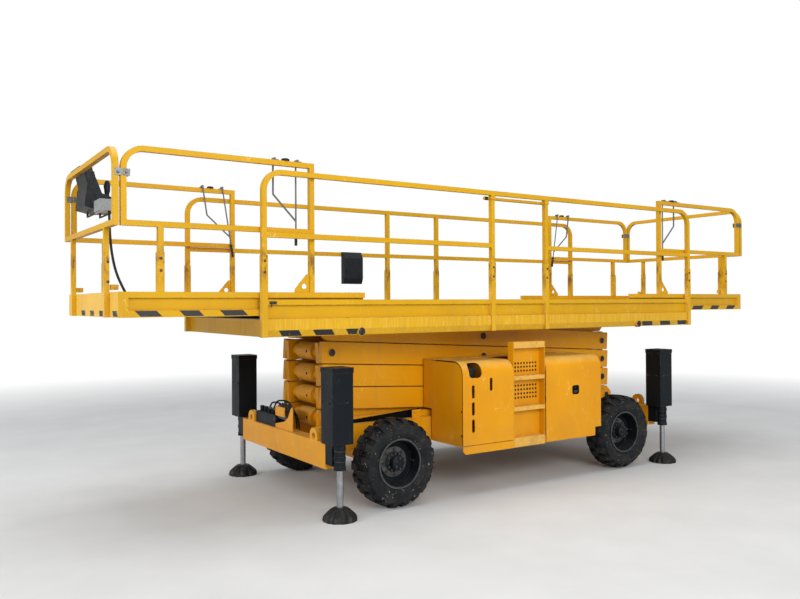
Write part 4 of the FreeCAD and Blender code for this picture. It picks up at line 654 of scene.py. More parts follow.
def make_extension_markings(name, end):
    """Slanted marks along both sides of an extension and small ones on its end."""
    low_z, high_z = DECK_MARK_Z
    deck_x = abs(DECK_LOW[0])
    face_y = DECK_HIGH[1]
    bm = bmesh.new()
    for side in BOTH:
        for start, length in EXTENSION_MARKS:
            add_mark(bm, end * (deck_x - start), -end * length, -end * MARK_SLANT, side, (face_y, high_z),
                     (face_y, low_z))
    new_piece("side_markings_" + name, bm, "extension_" + name, "marking")
    bm = bmesh.new()
    for y in END_MARKS:
        left, right = y + END_MARK_HALF, y - END_MARK_HALF
        corners = ((left + END_MARK_LEAN, high_z), (right + END_MARK_LEAN, high_z),
                   (right - END_MARK_LEAN, low_z), (left - END_MARK_LEAN, low_z))
        add_plate(bm, [(end * deck_x, *corner) for corner in corners], (end * MARK_T, 0, 0))
    new_piece("end_markings_" + name, bm, "extension_" + name, "worn_marking")


# Black caps over the pins
CHASSIS_CAP_Y = 0.480
BOSS_Y = 0.953
CAP_R = 0.033
CAP_BOLT_OUT = 0.004
CAP_PROFILE = (
    (CAP_R, 0), (CAP_R, 0.003), (CAP_R * 0.85, 0.006), (CAP_R * 0.40, 0.006), (CAP_R * 0.36, 0.004))


def cap_spots():
    """Each cap's body, its X, its face's Y and its level."""
    spots = []
    for stage in STAGES[:-1]:
        spots.append(("outer_%d" % stage, -PIN_X, ARM_FACE_Y, PIN_LEVELS[stage]))
        spots.append(("outer_%d" % (stage + 1), PIN_X, ARM_FACE_Y, PIN_LEVELS[stage]))
    for stage in STAGES:
        middle = (PIN_LEVELS[stage - 1] + PIN_LEVELS[stage]) / 2
        spots.append(("inner_%d" % stage, 0.0, ARM_FACE_Y, middle))
    spots.append(("chassis", PIN_X, CHASSIS_CAP_Y, PIN_LEVELS[0]))
    for end in BOTH:
        spots.append(("platform", end * PIN_X, BOSS_Y, PIN_LEVELS[-1]))
    return spots


def make_pin_caps():
    by_body = {}
    for body, x, y, z in cap_spots():
        by_body.setdefault(body, []).append((x, y, z))
    for body, places in by_body.items():
        bm = bmesh.new()
        for x, y, z in places:
            for side in BOTH:
                add_turned(bm, (x, side * y, z), (0, side, 0), CAP_PROFILE, 28)
                add_bolt(bm, (x, side * (y + CAP_BOLT_OUT), z), (0, side, 0), LARGE_BOLT)
        new_piece("pin_caps_" + body, bm, body, "cap_metal", True)


# Clamps that hold each end hoop to the side rails
CLAMP_Z = 2.735
CLAMP_H = 0.052
CLAMP_X = (3.690, 3.800)
CLAMP_GAP = 0.006
CLAMP_WALL = 0.004
RAIL_Y = 0.880
TUBE = 0.042
STUD_PROFILE = ((0.005, 0), (0.005, 0.017), (0.004, 0.018))


def make_clamps(name, end):
    """A pair of bolted plates at each corner, round the hoop's leg and the side rail's post."""
    bm = bmesh.new()
    low_x, high_x = CLAMP_X
    middle = (low_x + high_x) / 2
    y_out = RAIL_Y + TUBE / 2
    y_in = RAIL_Y - TUBE / 2
    z_span = (CLAMP_Z - CLAMP_H / 2, CLAMP_Z + CLAMP_H / 2)
    for side in BOTH:
        for first, last in ((low_x, middle - CLAMP_GAP / 2), (middle + CLAMP_GAP / 2, high_x)):
            for y in (y_out, y_in - CLAMP_WALL):
                y_span = (side * y, side * (y + CLAMP_WALL))
                add_block(bm, (end * first, end * last), y_span, z_span, CLAMP_CUT)
            spot = (end * (first + last) / 2, side * (y_out + CLAMP_WALL), CLAMP_Z)
            add_bolt(bm, spot, (0, side, 0), CLAMP_BOLT)
            add_turned(bm, spot, (0, side, 0), STUD_PROFILE, 10)
    new_piece("rail_clamps_" + name, bm, "extension_" + name, "zinc")


# Guide rollers that carry the extensions along the sills
ROLLER_PLACE = (2.615, 0.8905)
ROLLER_R = 0.012
ROLLER_Z = (1.7485, 1.812)


def make_guide_rollers():
    """Short rollers with a waist, one at each corner of the platform."""
    low, high = ROLLER_Z
    tall = high - low
    profile = ((ROLLER_R * 0.8, 0), (ROLLER_R, 0.003), (ROLLER_R, tall * 0.45),
               (ROLLER_R * 0.86, tall * 0.5), (ROLLER_R, tall * 0.55), (ROLLER_R, tall - 0.003),
               (ROLLER_R * 0.8, tall))
    x, y = ROLLER_PLACE
    bm = bmesh.new()
    for end in BOTH:
        for side in BOTH:
            add_turned(bm, (end * x, side * y, low), (0, 0, 1), profile, 20)
    new_piece("guide_rollers", bm, "platform", "dark_plastic", True)


# Wheels: flange and nuts round the hub, bolts on its cap, the bead ring and the valve; the light grey of the
# flange, nuts, bolts and bead ring is a painted glint
CAP_ABOVE_DISC = 0.116
LIP_BELOW_TYRE = 0.0237
FLANGE_R = (0.086, 0.132)
FLANGE_T = 0.008
NUT_COUNT = 8
NUT_CIRCLE = 0.110
NUT_SINK = 0.001
NUT_PROFILE = ((0.007, 0.0), (0.007, 0.026), (0.005, 0.028))
HUB_BOLTS = 12
HUB_CIRCLE = 0.075
HUB_OUT = 0.037
CAP_BOLTS = 6
CAP_CIRCLE = 0.046
CAP_SINK = 0.0015
BEAD_RING_R = (0.2045, 0.2165)
BEAD_RING_T = 0.0025
VALVE_OUT = 0.178
VALVE_PROFILE = ((0.004, 0.0), (0.004, 0.040), (0.006, 0.042), (0.006, 0.056), (0.004, 0.058))


def make_wheel(place, side):
    """Nuts, hub bolts, a bead ring and the valve of one wheel."""
    tyre_low, tyre_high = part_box("tyre_" + place)
    rim_low, rim_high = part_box("rim_" + place)
    x = (tyre_low[0] + tyre_high[0]) / 2
    z = (tyre_low[2] + tyre_high[2]) / 2
    cap_y = max(abs(rim_low[1]), abs(rim_high[1]))
    disc_y = cap_y - CAP_ABOVE_DISC
    lip_y = max(abs(tyre_low[1]), abs(tyre_high[1])) - LIP_BELOW_TYRE
    axis = (0, side, 0)
    bm = bmesh.new()
    add_ring(bm, (x, side * disc_y, z), axis, *FLANGE_R, FLANGE_T, 48)
    for dx, dz in round_points(NUT_COUNT, NUT_CIRCLE):
        spot = (x + dx, side * (disc_y + FLANGE_T - NUT_SINK), z + dz)
        add_bolt(bm, spot, axis, WHEEL_NUT)
        add_turned(bm, spot, axis, NUT_PROFILE, 10)
    for dx, dz in round_points(HUB_BOLTS, HUB_CIRCLE):
        add_bolt(bm, (x + dx, side * (disc_y + HUB_OUT), z + dz), axis, HUB_BOLT)
    for dx, dz in round_points(CAP_BOLTS, CAP_CIRCLE, 0.5):
        add_bolt(bm, (x + dx, side * (cap_y - CAP_SINK), z + dz), axis, SMALL_BOLT)
    # Painted glints: the flange, nuts and bolts take the light grey finish
    new_piece("wheel_nuts_" + place, bm, "wheel_" + place, "clear_rim")
    bm = bmesh.new()
    add_ring(bm, (x, side * lip_y, z), axis, *BEAD_RING_R, BEAD_RING_T, 64)
    add_turned(bm, (x + VALVE_OUT, side * disc_y, z), axis, VALVE_PROFILE, 12)
    # Painted highlight: the bead ring's light grey round the rim
    new_piece("bead_ring_" + place, bm, "wheel_" + place, "clear_rim", True)


# Outriggers: seam strips and bolts on the covers, and rings on the housings, bright as a painted highlight
LEG_X = 2.053
LEG_Y = 1.041
COVER_FACE_Y = 1.098
COVER_HALF = 0.098
COVER_FLAT = 0.055
SEAM_BOLT_X = 0.040
SIDE_SEAM_Y = (LEG_Y - 0.135, LEG_Y + 0.02)
SIDE_BOLT_Y = (LEG_Y - 0.115, LEG_Y)
LID_OUT = 0.004
LID_BOLT_Y = (LEG_Y - 0.090, LEG_Y + 0.010)
LID_BOLT_Z = 1.2313
SEAM_Z = (0.955, 0.971)
SEAM_T = 0.0015
SEAM_BOLT_T = 0.0012
HOUSING_RINGS = (0.4775, 0.5640)
HOUSING_RING_R = (0.046, 0.0482)
HOUSING_RING_T = 0.004
HOUSING_BOLT_X = 0.045
HOUSING_BOLT_Y = 0.985
HOUSING_BOLT_Z = (0.470, 0.530)


def add_cover_trim(seams, end, side):
    """One cover's seam on three faces, with the bolts along it, in its lid and on its housing's plate."""
    x = end * LEG_X
    face = side * COVER_FACE_Y
    seam_middle = sum(SEAM_Z) / 2
    add_block(seams, (x - COVER_FLAT, x + COVER_FLAT), (face, face + side * SEAM_T), SEAM_Z, SEAM_CUT)
    for dx in (-SEAM_BOLT_X, SEAM_BOLT_X):
        add_bolt(seams, (x + dx, face + side * SEAM_BOLT_T, seam_middle), (0, side, 0), MIDDLE_BOLT)
    for way in BOTH:
        wall = x + way * COVER_HALF
        add_block(seams, (wall, wall + way * SEAM_T), [side * y for y in SIDE_SEAM_Y], SEAM_Z, SEAM_CUT)
        for y in SIDE_BOLT_Y:
            add_bolt(seams, (wall + way * SEAM_BOLT_T, side * y, seam_middle), (way, 0, 0), MIDDLE_BOLT)
    for y in LID_BOLT_Y:
        add_bolt(seams, (x + end * (COVER_HALF + LID_OUT), side * y, LID_BOLT_Z), (end, 0, 0), SMALL_BOLT)
    for z in HOUSING_BOLT_Z:
        add_bolt(seams, (x - HOUSING_BOLT_X, side * HOUSING_BOLT_Y, z), (-1, 0, 0), LARGE_BOLT)


def make_outrigger_trim():
    seams = bmesh.new()
    rings = bmesh.new()
    for end in BOTH:
        for side in BOTH:
            add_cover_trim(seams, end, side)
            for z in HOUSING_RINGS:
                centre = (end * LEG_X, side * LEG_Y, z)
                add_ring(rings, centre, (0, 0, 1), *HOUSING_RING_R, HOUSING_RING_T, 40)
    new_piece("outrigger_cover_trim", seams, "chassis", "black_paint")
    # Painted highlight: the housing rings take the light grey finish
    new_piece("outrigger_housing_rings", rings, "chassis", "clear_rim", True)


# The foot's folded skirt: its radius at each level, and its pleats
FOOT_LEVELS = (
    (0.1455, 0.0), (0.1455, 0.012), (0.140, 0.034), (0.124, 0.052), (0.106, 0.068), (0.088, 0.084),
    (0.068, 0.098), (0.056, 0.1035))
FOOT_PLEATS = 13
PLEAT_DEPTH = 0.13
EDGE_PLEAT_DEPTH = 0.3 * PLEAT_DEPTH
PLEAT_STEPS = 8


def make_foot(place, end, side):
    """Folded rubber skirt over the foot, pleated round its cone."""
    bm = bmesh.new()
    count = FOOT_PLEATS * PLEAT_STEPS
    rings = []
    for level, (radius, z) in enumerate(FOOT_LEVELS):
        ring = []
        fold = PLEAT_DEPTH if 0 < level < len(FOOT_LEVELS) - 1 else EDGE_PLEAT_DEPTH
        for i in range(count):
            a = 2 * math.pi * i / count
            wave = math.sin(FOOT_PLEATS * a + 1.3 * math.sin(2 * a) + 0.4 * level * math.sin(5 * a))
            r = radius * (1.0 - fold * (0.5 - 0.5 * wave))
            ring.append(bm.verts.new((end * LEG_X + r * math.cos(a), side * LEG_Y + r * math.sin(a), z)))
        rings.append(ring)
    add_skin(bm, rings)
    skirt = new_piece("foot_skirt_" + place, bm, "leg_body_" + place, "rubber", True)
    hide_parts("foot_" + place)


# Ladder: worn plates with raised lozenges on the steps' tops and fronts, and a near-black sheet behind the
# grille as painted shade
TREAD_PITCH = 0.026
TREAD_L = 0.017
TREAD_W = 0.006
TREAD_RISE = 0.0022
TREAD_RIDGE = 0.3 * TREAD_L
ROW_PITCH = 0.7 * TREAD_PITCH
TOP_ROWS = 3
FIRST_ROW = 0.012
STEP_FRONT_Y = -1.042
STEP_BACK_Y = -0.965
STEP_FRONTS = ((0.390, 0.477), (0.736, 0.774), (1.032, 1.070), (1.340, 1.398))
PLATE_SIDE = 0.002
PLATE_T = 0.0008
LADDER_X = (-0.138, 0.255)
GRILLE_Y = (-0.9620, -0.9605)
GRILLES = ((0.80, 1.02), (1.08, 1.22))


def add_lozenge(bm, centre, along, across, out):
    """A low raised lozenge with a ridge along its middle."""
    tips = [centre - along * TREAD_L / 2, centre + across * TREAD_W / 2, centre + along * TREAD_L / 2,
            centre - across * TREAD_W / 2]
    first, left, last, right = (bm.verts.new(tip) for tip in tips)
    ridge = along * TREAD_RIDGE
    near, far = (bm.verts.new(centre + out * TREAD_RISE + way * ridge) for way in BOTH)
    for face in ((first, left, near), (left, last, far), (left, far, near), (last, right, far),
                 (right, first, near), (right, near, far), (right, last, left, first)):
        bm.faces.new(face)


def add_lozenges(bm, spots, up, out):
    """Rows of lozenges across the ladder, leaning by turns to the left and the right."""
    lean = math.sqrt(0.5)
    columns = int((LADDER_X[1] - LADDER_X[0]) / TREAD_PITCH)
    for row, (y, z) in enumerate(spots):
        for column in range(columns):
            x = LADDER_X[0] + (column + 0.5) * TREAD_PITCH
            turn = lean if (row + column) % 2 else -lean
            along = Vector((lean, 0, 0)) + Vector(up) * turn
            across = Vector((lean, 0, 0)) - Vector(up) * turn
            add_lozenge(bm, Vector((x, y, z)), along, across, Vector(out))


def make_treads():
    bm = bmesh.new()
    plate_x = (LADDER_X[0] - PLATE_SIDE, LADDER_X[1] + PLATE_SIDE)
    for low_z, high_z in STEP_FRONTS:
        rows = max(1, int((high_z - low_z) / ROW_PITCH))
        levels = [low_z + (row + 0.5) * (high_z - low_z) / rows for row in range(rows)]
        add_lozenges(bm, [(STEP_FRONT_Y, z) for z in levels], (0, 0, 1), (0, -1, 0))
        depths = [STEP_FRONT_Y + FIRST_ROW + row * TREAD_PITCH for row in range(TOP_ROWS)]
        add_lozenges(bm, [(y, high_z) for y in depths], (0, 1, 0), (0, 0, 1))
        front_y = (STEP_FRONT_Y - PLATE_T, STEP_FRONT_Y + PLATE_T / 2)
        add_block(bm, plate_x, front_y, (low_z, high_z), FILM_CUT)
        top_z = (high_z - PLATE_T / 2, high_z + PLATE_T)
        add_block(bm, plate_x, (STEP_FRONT_Y, STEP_BACK_Y), top_z, FILM_CUT)
    new_piece("step_treads", bm, "chassis", "step_tread")


# Painted shade: a near-black sheet behind the grille's holes
def make_grille_shade_sheet():
    bm = bmesh.new()
    for z_span in GRILLES:
        add_block(bm, LADDER_X, GRILLE_Y, z_span, FILM_CUT)
    new_piece("grille_shade_sheet", bm, "chassis", "hollow")


# Console on the left rail; the X values of its pieces are counted from the rail's back
CONSOLE_X = -3.7697
CONSOLE_Y = (0.250, 0.640)
CONSOLE_Z = 2.580
COVER_X = (0.031, 0.089)
COVER_Z = 0.281
COVER_T = 0.004
COVER_INSET = 0.012
NECK_FOOT = (0.024, 2.800)
NECK_TOP = (-0.012, 2.9455)
NECK_DEPTH = 0.030
NECK_INSET = 0.006
SADDLE_INSET = 0.010
SADDLE_X = (-0.042, 0.010)
SADDLE_Z = (2.9452, 2.9492)
CHEEK_FRONT = ((0.004, 0.034), (0.016, 0.200), (0.052, 0.330), (0.075, 0.330))
CHEEK_FOOT = ((0.240, 0.108), (0.240, 0.012), (0.128, 0.003))
CHEEK_T = 0.003
HOLLOW_MIDDLE = (0.205, 0.225)
HOLLOW_R = 0.105
HOLLOW_STEPS = 8
STICK_OUT = 0.205
STICK_ASIDE = 0.090
STICK_PROFILE = (
    (0.036, 0.098), (0.040, 0.104), (0.030, 0.110), (0.034, 0.116), (0.024, 0.122), (0.028, 0.128),
    (0.016, 0.138), (0.012, 0.150), (0.019, 0.165), (0.025, 0.190), (0.026, 0.225), (0.023, 0.255),
    (0.016, 0.272), (0.006, 0.278))
KEY_PLACES = (0.080, 0.115, 0.150)
KEY_BACK = 0.030
KEY_FOOT = 0.120
KEY_AXIS = (0.34, 0, 1)
KEY_PROFILE = ((0.011, 0), (0.011, 0.012), (0.008, 0.014), (0.006, 0.026))


def make_console_front():
    """Cover plate over the keys, and the saddle on the rail."""
    bm = bmesh.new()
    y0, y1 = CONSOLE_Y
    x0, x1 = (CONSOLE_X + x for x in COVER_X)
    z = CONSOLE_Z + COVER_Z
    y_near, y_far = y0 + COVER_INSET, y1 - COVER_INSET
    add_plate(bm, [(x0, y_near, z), (x0, y_far, z), (x1, y_far, z), (x1, y_near, z)], (0, 0, COVER_T))
    saddle_x = [CONSOLE_X + x for x in SADDLE_X]
    add_block(bm, saddle_x, (y0 + SADDLE_INSET, y1 - SADDLE_INSET), SADDLE_Z, PLATE_CUT)
    new_piece("console_front", bm, "extension_left", "grey_box")


def make_console_cheeks():
    """Neck, cheeks with a round hollow, stick with its boot, and the key row."""
    bm = bmesh.new()
    y0, y1 = CONSOLE_Y
    y_near, y_far = y0 + NECK_INSET, y1 - NECK_INSET
    places = ((NECK_FOOT, y_near), (NECK_FOOT, y_far), (NECK_TOP, y_far), (NECK_TOP, y_near))
    add_plate(bm, [(CONSOLE_X + x, y, z) for (x, z), y in places], (NECK_DEPTH, 0, 0.001))
    hollow = []
    middle_x, middle_z = HOLLOW_MIDDLE
    for i in range(HOLLOW_STEPS + 1):
        a = math.radians(180 + 90 * i / HOLLOW_STEPS)
        hollow.append((middle_x + HOLLOW_R * math.cos(a), middle_z + HOLLOW_R * math.sin(a)))
    outline = (*CHEEK_FRONT, *hollow, *CHEEK_FOOT)
    for y, way in ((y0, -1), (y1, 1)):
        add_plate(bm, [(CONSOLE_X + x, y, CONSOLE_Z + z) for x, z in outline], (0, way * CHEEK_T, 0))
    stick_x = CONSOLE_X + STICK_OUT
    stick_y = (y0 + y1) / 2 - STICK_ASIDE
    add_turned(bm, (stick_x, stick_y, CONSOLE_Z), (0, 0, 1), STICK_PROFILE, 24)
    for aside in KEY_PLACES:
        foot = (stick_x - KEY_BACK, stick_y + aside, CONSOLE_Z + KEY_FOOT)
        add_turned(bm, foot, KEY_AXIS, KEY_PROFILE, 16)
    new_piece("console_cheeks", bm, "extension_left", "dark_plastic")


# Latches in the hoods
LATCH_DX = 0.414
LATCH_Z = BOX_LOW[2] + 0.503
LATCH_SHADE_Y = 1.042
LATCH_SHADE_HALF = (0.056, 0.052)
LATCH_SHADE_T = 0.003
PADDLE_HALF = 0.030
PADDLE_GAP = 0.004
PADDLE_Y = (1.0445, 1.0485)
BARREL_Y = 1.0425
BARREL_UP = 0.020
BARREL_PROFILE = ((0.009, 0), (0.009, 0.004), (0.006, 0.005))


def make_hood_latch(name, side):
    """A near-black plate behind the hood's opening, painted as the shade in the latch's recess, with a paddle
    across it.
    """
    body = "hood_" + name
    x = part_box(body)[0][0] + LATCH_DX
    z = LATCH_Z
    half_x, half_z = LATCH_SHADE_HALF
    y = side * LATCH_SHADE_Y
    bm = bmesh.new()
    corners = ((-half_x, -half_z), (half_x, -half_z), (half_x, half_z), (-half_x, half_z))
    # Painted shade: a near-black plate in the latch's recess
    add_plate(bm, [(x + dx, y, z + dz) for dx, dz in corners], (0, -side * LATCH_SHADE_T, 0))
    new_piece("latch_shade_" + name, bm, body, "hollow")
    bm = bmesh.new()
    y_span = [side * out for out in PADDLE_Y]
    add_block(bm, (x - PADDLE_HALF, x + PADDLE_HALF), y_span, (z - PADDLE_HALF, z - PADDLE_GAP), PLATE_CUT)
    add_turned(bm, (x, side * BARREL_Y, z + BARREL_UP), (0, side, 0), BARREL_PROFILE, 18)
    new_piece("hood_latch_" + name, bm, body, "cap_metal")


def make_hood_latches():
    for name, side in (("near_right", -1), ("far_left", 1), ("far_right", 1)):
        make_hood_latch(name, side)


# Filter can with a ribbed cap on a bracket, seen through the near left hood's openings
FILTER_PLACE = (BOX_LOW[0] + 0.165, -0.935, BOX_LOW[2] + 0.640)
FILTER_CAP_R = 0.058
FILTER_PROFILE = (
    (0.040, 0), (0.052, 0.006), (0.052, 0.105), (FILTER_CAP_R, 0.108), (FILTER_CAP_R, 0.132),
    (0.050, 0.140), (0.022, 0.142), (0.022, 0.160))
FILTER_RIBS = 20
RIB_FOOT = 0.109
BACK_HALF = 0.075
BACK_Y = (0.052, 0.060)
BACK_Z = (-0.04, 0.120)
STRUT_INSET = 0.006
STRUT_END = 0.060
STRUT_Y = (0.050, 0.056)
STRUT_Z = (-0.030, 0.020)
RIB_PROFILE = ((0.0035, 0), (0.0035, 0.022), (0.002, 0.023))


def make_filter():
    x, y, z = FILTER_PLACE
    bm = bmesh.new()
    add_turned(bm, FILTER_PLACE, (0, 0, 1), FILTER_PROFILE, 32)
    for dx, dy in round_points(FILTER_RIBS, FILTER_CAP_R):
        add_turned(bm, (x + dx, y + dy, z + RIB_FOOT), (0, 0, 1), RIB_PROFILE, 6)
    add_block(bm, (x - BACK_HALF, x + BACK_HALF), [y + in_y for in_y in BACK_Y], [z + up for up in BACK_Z])
    strut_x = (BOX_LOW[0] + STRUT_INSET, x - STRUT_END)
    add_block(bm, strut_x, [y + in_y for in_y in STRUT_Y], [z + up for up in STRUT_Z])
    new_piece("filter_can", bm, "chassis", "dark_plastic", True)


# Left end: hoses from the valve block into the chassis
HOSE_R = 0.0085
HOSES = (
    ((-2.045, 0.185, 0.770), (-2.030, 0.150, 0.815), (-1.960, 0.085, 0.800), (-1.905, 0.050, 0.700),
     (-1.890, 0.040, 0.585)),
    ((-2.045, 0.275, 0.770), (-2.020, 0.235, 0.845), (-1.945, 0.150, 0.830), (-1.895, 0.110, 0.700),
     (-1.885, 0.100, 0.585)),
    ((-2.045, 0.365, 0.770), (-2.025, 0.345, 0.820), (-1.960, 0.280, 0.800), (-1.915, 0.220, 0.690),
     (-1.900, 0.200, 0.585)),
)
FITTING_PROFILE = ((0.014, -0.012), (0.014, 0.002), (0.011, 0.004), (0.011, 0.018))


def make_hoses():
    hoses = bmesh.new()
    fittings = bmesh.new()
    for route in HOSES:
        add_bar(hoses, smooth_line(route), HOSE_R)
        add_turned(fittings, route[0], (0, 0, 1), FITTING_PROFILE, 6)
    new_piece("valve_hoses", hoses, "chassis", "rubber", True)
    new_piece("hose_fittings", fittings, "chassis", "zinc")


# Left end: mounting plate and gusset beside the valve block, with a small valve bank behind them
MOUNT_X = -2.108
MOUNT_Y = (-0.094, 0.108)
MOUNT_Z = (0.732, 0.820)
MOUNT_BOLT_IN = (0.019, 0.016)
BEAM_TOP = 0.6125
MOUNT_T = 0.008
GUSSET_X = MOUNT_X + 0.020
LEDGE_DEPTH = 0.090
GUSSET_LEDGE_Y = (0.165, 0.185)
GUSSET_LEDGE_Z = (BEAM_TOP, 0.642)
GUSSET = (
    (0.185, BEAM_TOP), (0.185, 0.640), (-0.060, 0.690), (-0.130, 0.735), (-0.190, 0.825),
    (-0.224, 0.838), (-0.224, BEAM_TOP))
BANK_X = (MOUNT_X + 0.030, MOUNT_X + 0.105)
BANK_Y = (-0.085, 0.125)
BANK_Z = (0.700, 0.822)
GAUGE_YZ = (0.155, 0.690)
GAUGE_PROFILE = ((0.024, 0), (0.024, 0.012), (0.018, 0.014), (0.018, 0.020))
PORTS_Y = (-0.050, 0.015, 0.080)
PORT_X = MOUNT_X + 0.065
PORT_FOOT = 0.820
PORT_PROFILE = ((0.013, 0), (0.013, 0.014), (0.009, 0.016), (0.009, 0.026))


def make_valve_mount():
    bm = bmesh.new()
    add_block(bm, (MOUNT_X, MOUNT_X + MOUNT_T), MOUNT_Y, MOUNT_Z, PLATE_CUT)
    in_y, in_z = MOUNT_BOLT_IN
    for y in (MOUNT_Y[0] + in_y, MOUNT_Y[1] - in_y):
        for z in (MOUNT_Z[0] + in_z, MOUNT_Z[1] - in_z):
            add_bolt(bm, (MOUNT_X, y, z), (-1, 0, 0), SMALL_BOLT)
    add_plate(bm, [(GUSSET_X, y, z) for y, z in GUSSET], (MOUNT_T, 0, 0))
    add_block(bm, (GUSSET_X, GUSSET_X + LEDGE_DEPTH), GUSSET_LEDGE_Y, GUSSET_LEDGE_Z, PLATE_CUT)
    new_piece("valve_mount", bm, "chassis", "amber_paint")


def make_valve_bank():
    bm = bmesh.new()
    add_block(bm, BANK_X, BANK_Y, BANK_Z, BANK_CUT)
    add_turned(bm, (BANK_X[0], *GAUGE_YZ), (-1, 0, 0), GAUGE_PROFILE)
    for y in PORTS_Y:
        add_turned(bm, (PORT_X, y, PORT_FOOT), (0, 0, 1), PORT_PROFILE, 6)
    new_piece("valve_bank", bm, "chassis", "cap_metal")


# Near-black discs on the end tubes' left faces, painted as the shade in their holes, one on each arm pair
# that carries a tube
TUBE_R = 0.087
HOLE_SHADE_Y = -0.078
HOLE_SHADE_IN = 0.002
HOLE_SHADE_PROFILE = ((0.013, 0), (0.013, 0.003), (0.011, 0.004))


def make_tube_hole_shades():
    for stage in STAGES:
        bm = bmesh.new()
        foot = (-PIN_X - TUBE_R + HOLE_SHADE_IN, HOLE_SHADE_Y, PIN_LEVELS[stage - 1])
        add_turned(bm, foot, (-1, 0, 0), HOLE_SHADE_PROFILE, 20)
        new_piece("tube_plug_%d" % stage, bm, "inner_%d" % stage, "hollow")


# Near-black plates in front of the low tracks, painted as the shade inside them; brackets by the boxes, and
# spring seats
TRACK_SHADE_Y = 0.4785
TRACK_SHADE_FOOT = 0.632
TRACK_SHADE_X = (-1.880, -0.860)
TRACK_SHADE_TOP = (0.700, 0.765)
LEDGE_Y = 0.5395
TRACK_SHADE_T = 0.0015
LEDGE_Z = TRACK_SHADE_FOOT - 0.0005
LEDGE_T = 0.002
SKIRT_X = (-1.42, -1.00)
SKIRT_Y = (0.5402, 0.5412)
SKIRT_Z = (0.500, 0.6335)
BRACKET_X = (-0.992, -0.896)
BRACKET_Y = (0.541, 0.549)
BRACKET_Z = (0.537, 0.764)
BRACKET_BOLT_X = -0.966
BRACKET_BOLTS = (0.680, 0.741)
SEAT_PLACE = (-1.300, 0.606)
SEAT_PROFILE = (
    (0.036, 0.560), (0.036, 0.632), (0.044, 0.640), (0.060, 0.660), (0.062, 0.668), (0.052, 0.668),
    (0.036, 0.654), (0.016, 0.650))


# Painted shade: near-black plates, ledges and skirts in front of the low tracks
def make_track_shades():
    bm = bmesh.new()
    x0, x1 = TRACK_SHADE_X
    for side in BOTH:
        y = side * TRACK_SHADE_Y
        wall = [(x0, y, TRACK_SHADE_FOOT), (x0, y, TRACK_SHADE_TOP[0]), (x1, y, TRACK_SHADE_TOP[1]), (x1, y, TRACK_SHADE_FOOT)]
        add_plate(bm, wall, (0, side * TRACK_SHADE_T, 0))
        ledge = ((x0, y), (x1, y), (x1, side * LEDGE_Y), (x0, side * LEDGE_Y))
        add_plate(bm, [(*corner, LEDGE_Z) for corner in ledge], (0, 0, LEDGE_T))
        add_block(bm, SKIRT_X, [side * y for y in SKIRT_Y], SKIRT_Z, FILM_CUT)
    new_piece("track_shade_plates", bm, "chassis", "hollow")


def make_brackets():
    bm = bmesh.new()
    for side in BOTH:
        add_block(bm, BRACKET_X, [side * y for y in BRACKET_Y], BRACKET_Z)
        for z in BRACKET_BOLTS:
            add_bolt(bm, (BRACKET_BOLT_X, side * BRACKET_Y[1], z), (0, side, 0), LARGE_BOLT)
    new_piece("box_brackets", bm, "chassis", "amber_paint")


def make_spring_seats():
    bm = bmesh.new()
    x, y = SEAT_PLACE
    for side in BOTH:
        add_turned(bm, (x, side * y, 0), (0, 0, 1), SEAT_PROFILE, 40)
    new_piece("spring_seats", bm, "chassis", "amber_paint", True)


# Seam down the box's left end, inside the hoods' edge, with its small bolts
HOOD_CURVE_R = 0.125
HOOD_FACE_Y = 1.050
HOOD_TOP_Z = 1.2405
SEAM_FOOT_Z = 0.470
SEAM_BACK_Y = 0.640
SEAM_INSETS = (0.004, 0.011)
SEAM_OUT = 0.0006
CORNER_STEPS = 12
SEAM_BOLT_Y = HOOD_FACE_Y - 0.020
SEAM_BOLT_Z = (0.780, 0.560)


def seam_line(x, side, inset):
    """Up the hood's edge, round its corner and back along its top."""
    centre_y = HOOD_FACE_Y - HOOD_CURVE_R
    centre_z = HOOD_TOP_Z - HOOD_CURVE_R
    r = HOOD_CURVE_R - inset
    line = [(x, side * (HOOD_FACE_Y - inset), SEAM_FOOT_Z)]
    for i in range(CORNER_STEPS + 1):
        a = math.radians(90 * i / CORNER_STEPS)
        line.append((x, side * (centre_y + r * math.cos(a)), centre_z + r * math.sin(a)))
    line.append((x, side * SEAM_BACK_Y, HOOD_TOP_Z - inset))
    return line


def make_box_seams():
    bm = bmesh.new()
    x = BOX_LOW[0] - SEAM_OUT
    for side in BOTH:
        outer, inner = ([bm.verts.new(p) for p in seam_line(x, side, inset)] for inset in SEAM_INSETS)
        for k in range(len(outer) - 1):
            bm.faces.new((outer[k], outer[k + 1], inner[k + 1], inner[k]))
        for z in SEAM_BOLT_Z:
            add_bolt(bm, (x, side * SEAM_BOLT_Y, z), (-1, 0, 0), SMALL_BOLT)
    new_piece("box_end_seams", bm, "chassis", "hollow")


# Black sleeves at the ends of the gate bar
GATE_Y = -0.894
SLEEVE_IN = 0.002
SLEEVE_PROFILE = ((0.012, 0), (0.0175, 0.004), (0.0175, 0.050), (0.016, 0.053))


def make_sleeves():
    low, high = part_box("gate_bar")
    z = (low[2] + high[2]) / 2
    bm = bmesh.new()
    for x, way in ((low[0] + SLEEVE_IN, 1), (high[0] - SLEEVE_IN, -1)):
        add_turned(bm, (x, GATE_Y, z), (way, 0, 0), SLEEVE_PROFILE, 20)
    new_piece("gate_sleeves", bm, "gate", "dark_plastic", True)


# Knobs over the levers' pivots
KNOB_X = 2.455
KNOB_TOP = 2.939
KNOB_PROFILE = ((0.030, 0), (0.034, 0.006), (0.034, 0.014), (0.026, 0.021), (0.012, 0.024))


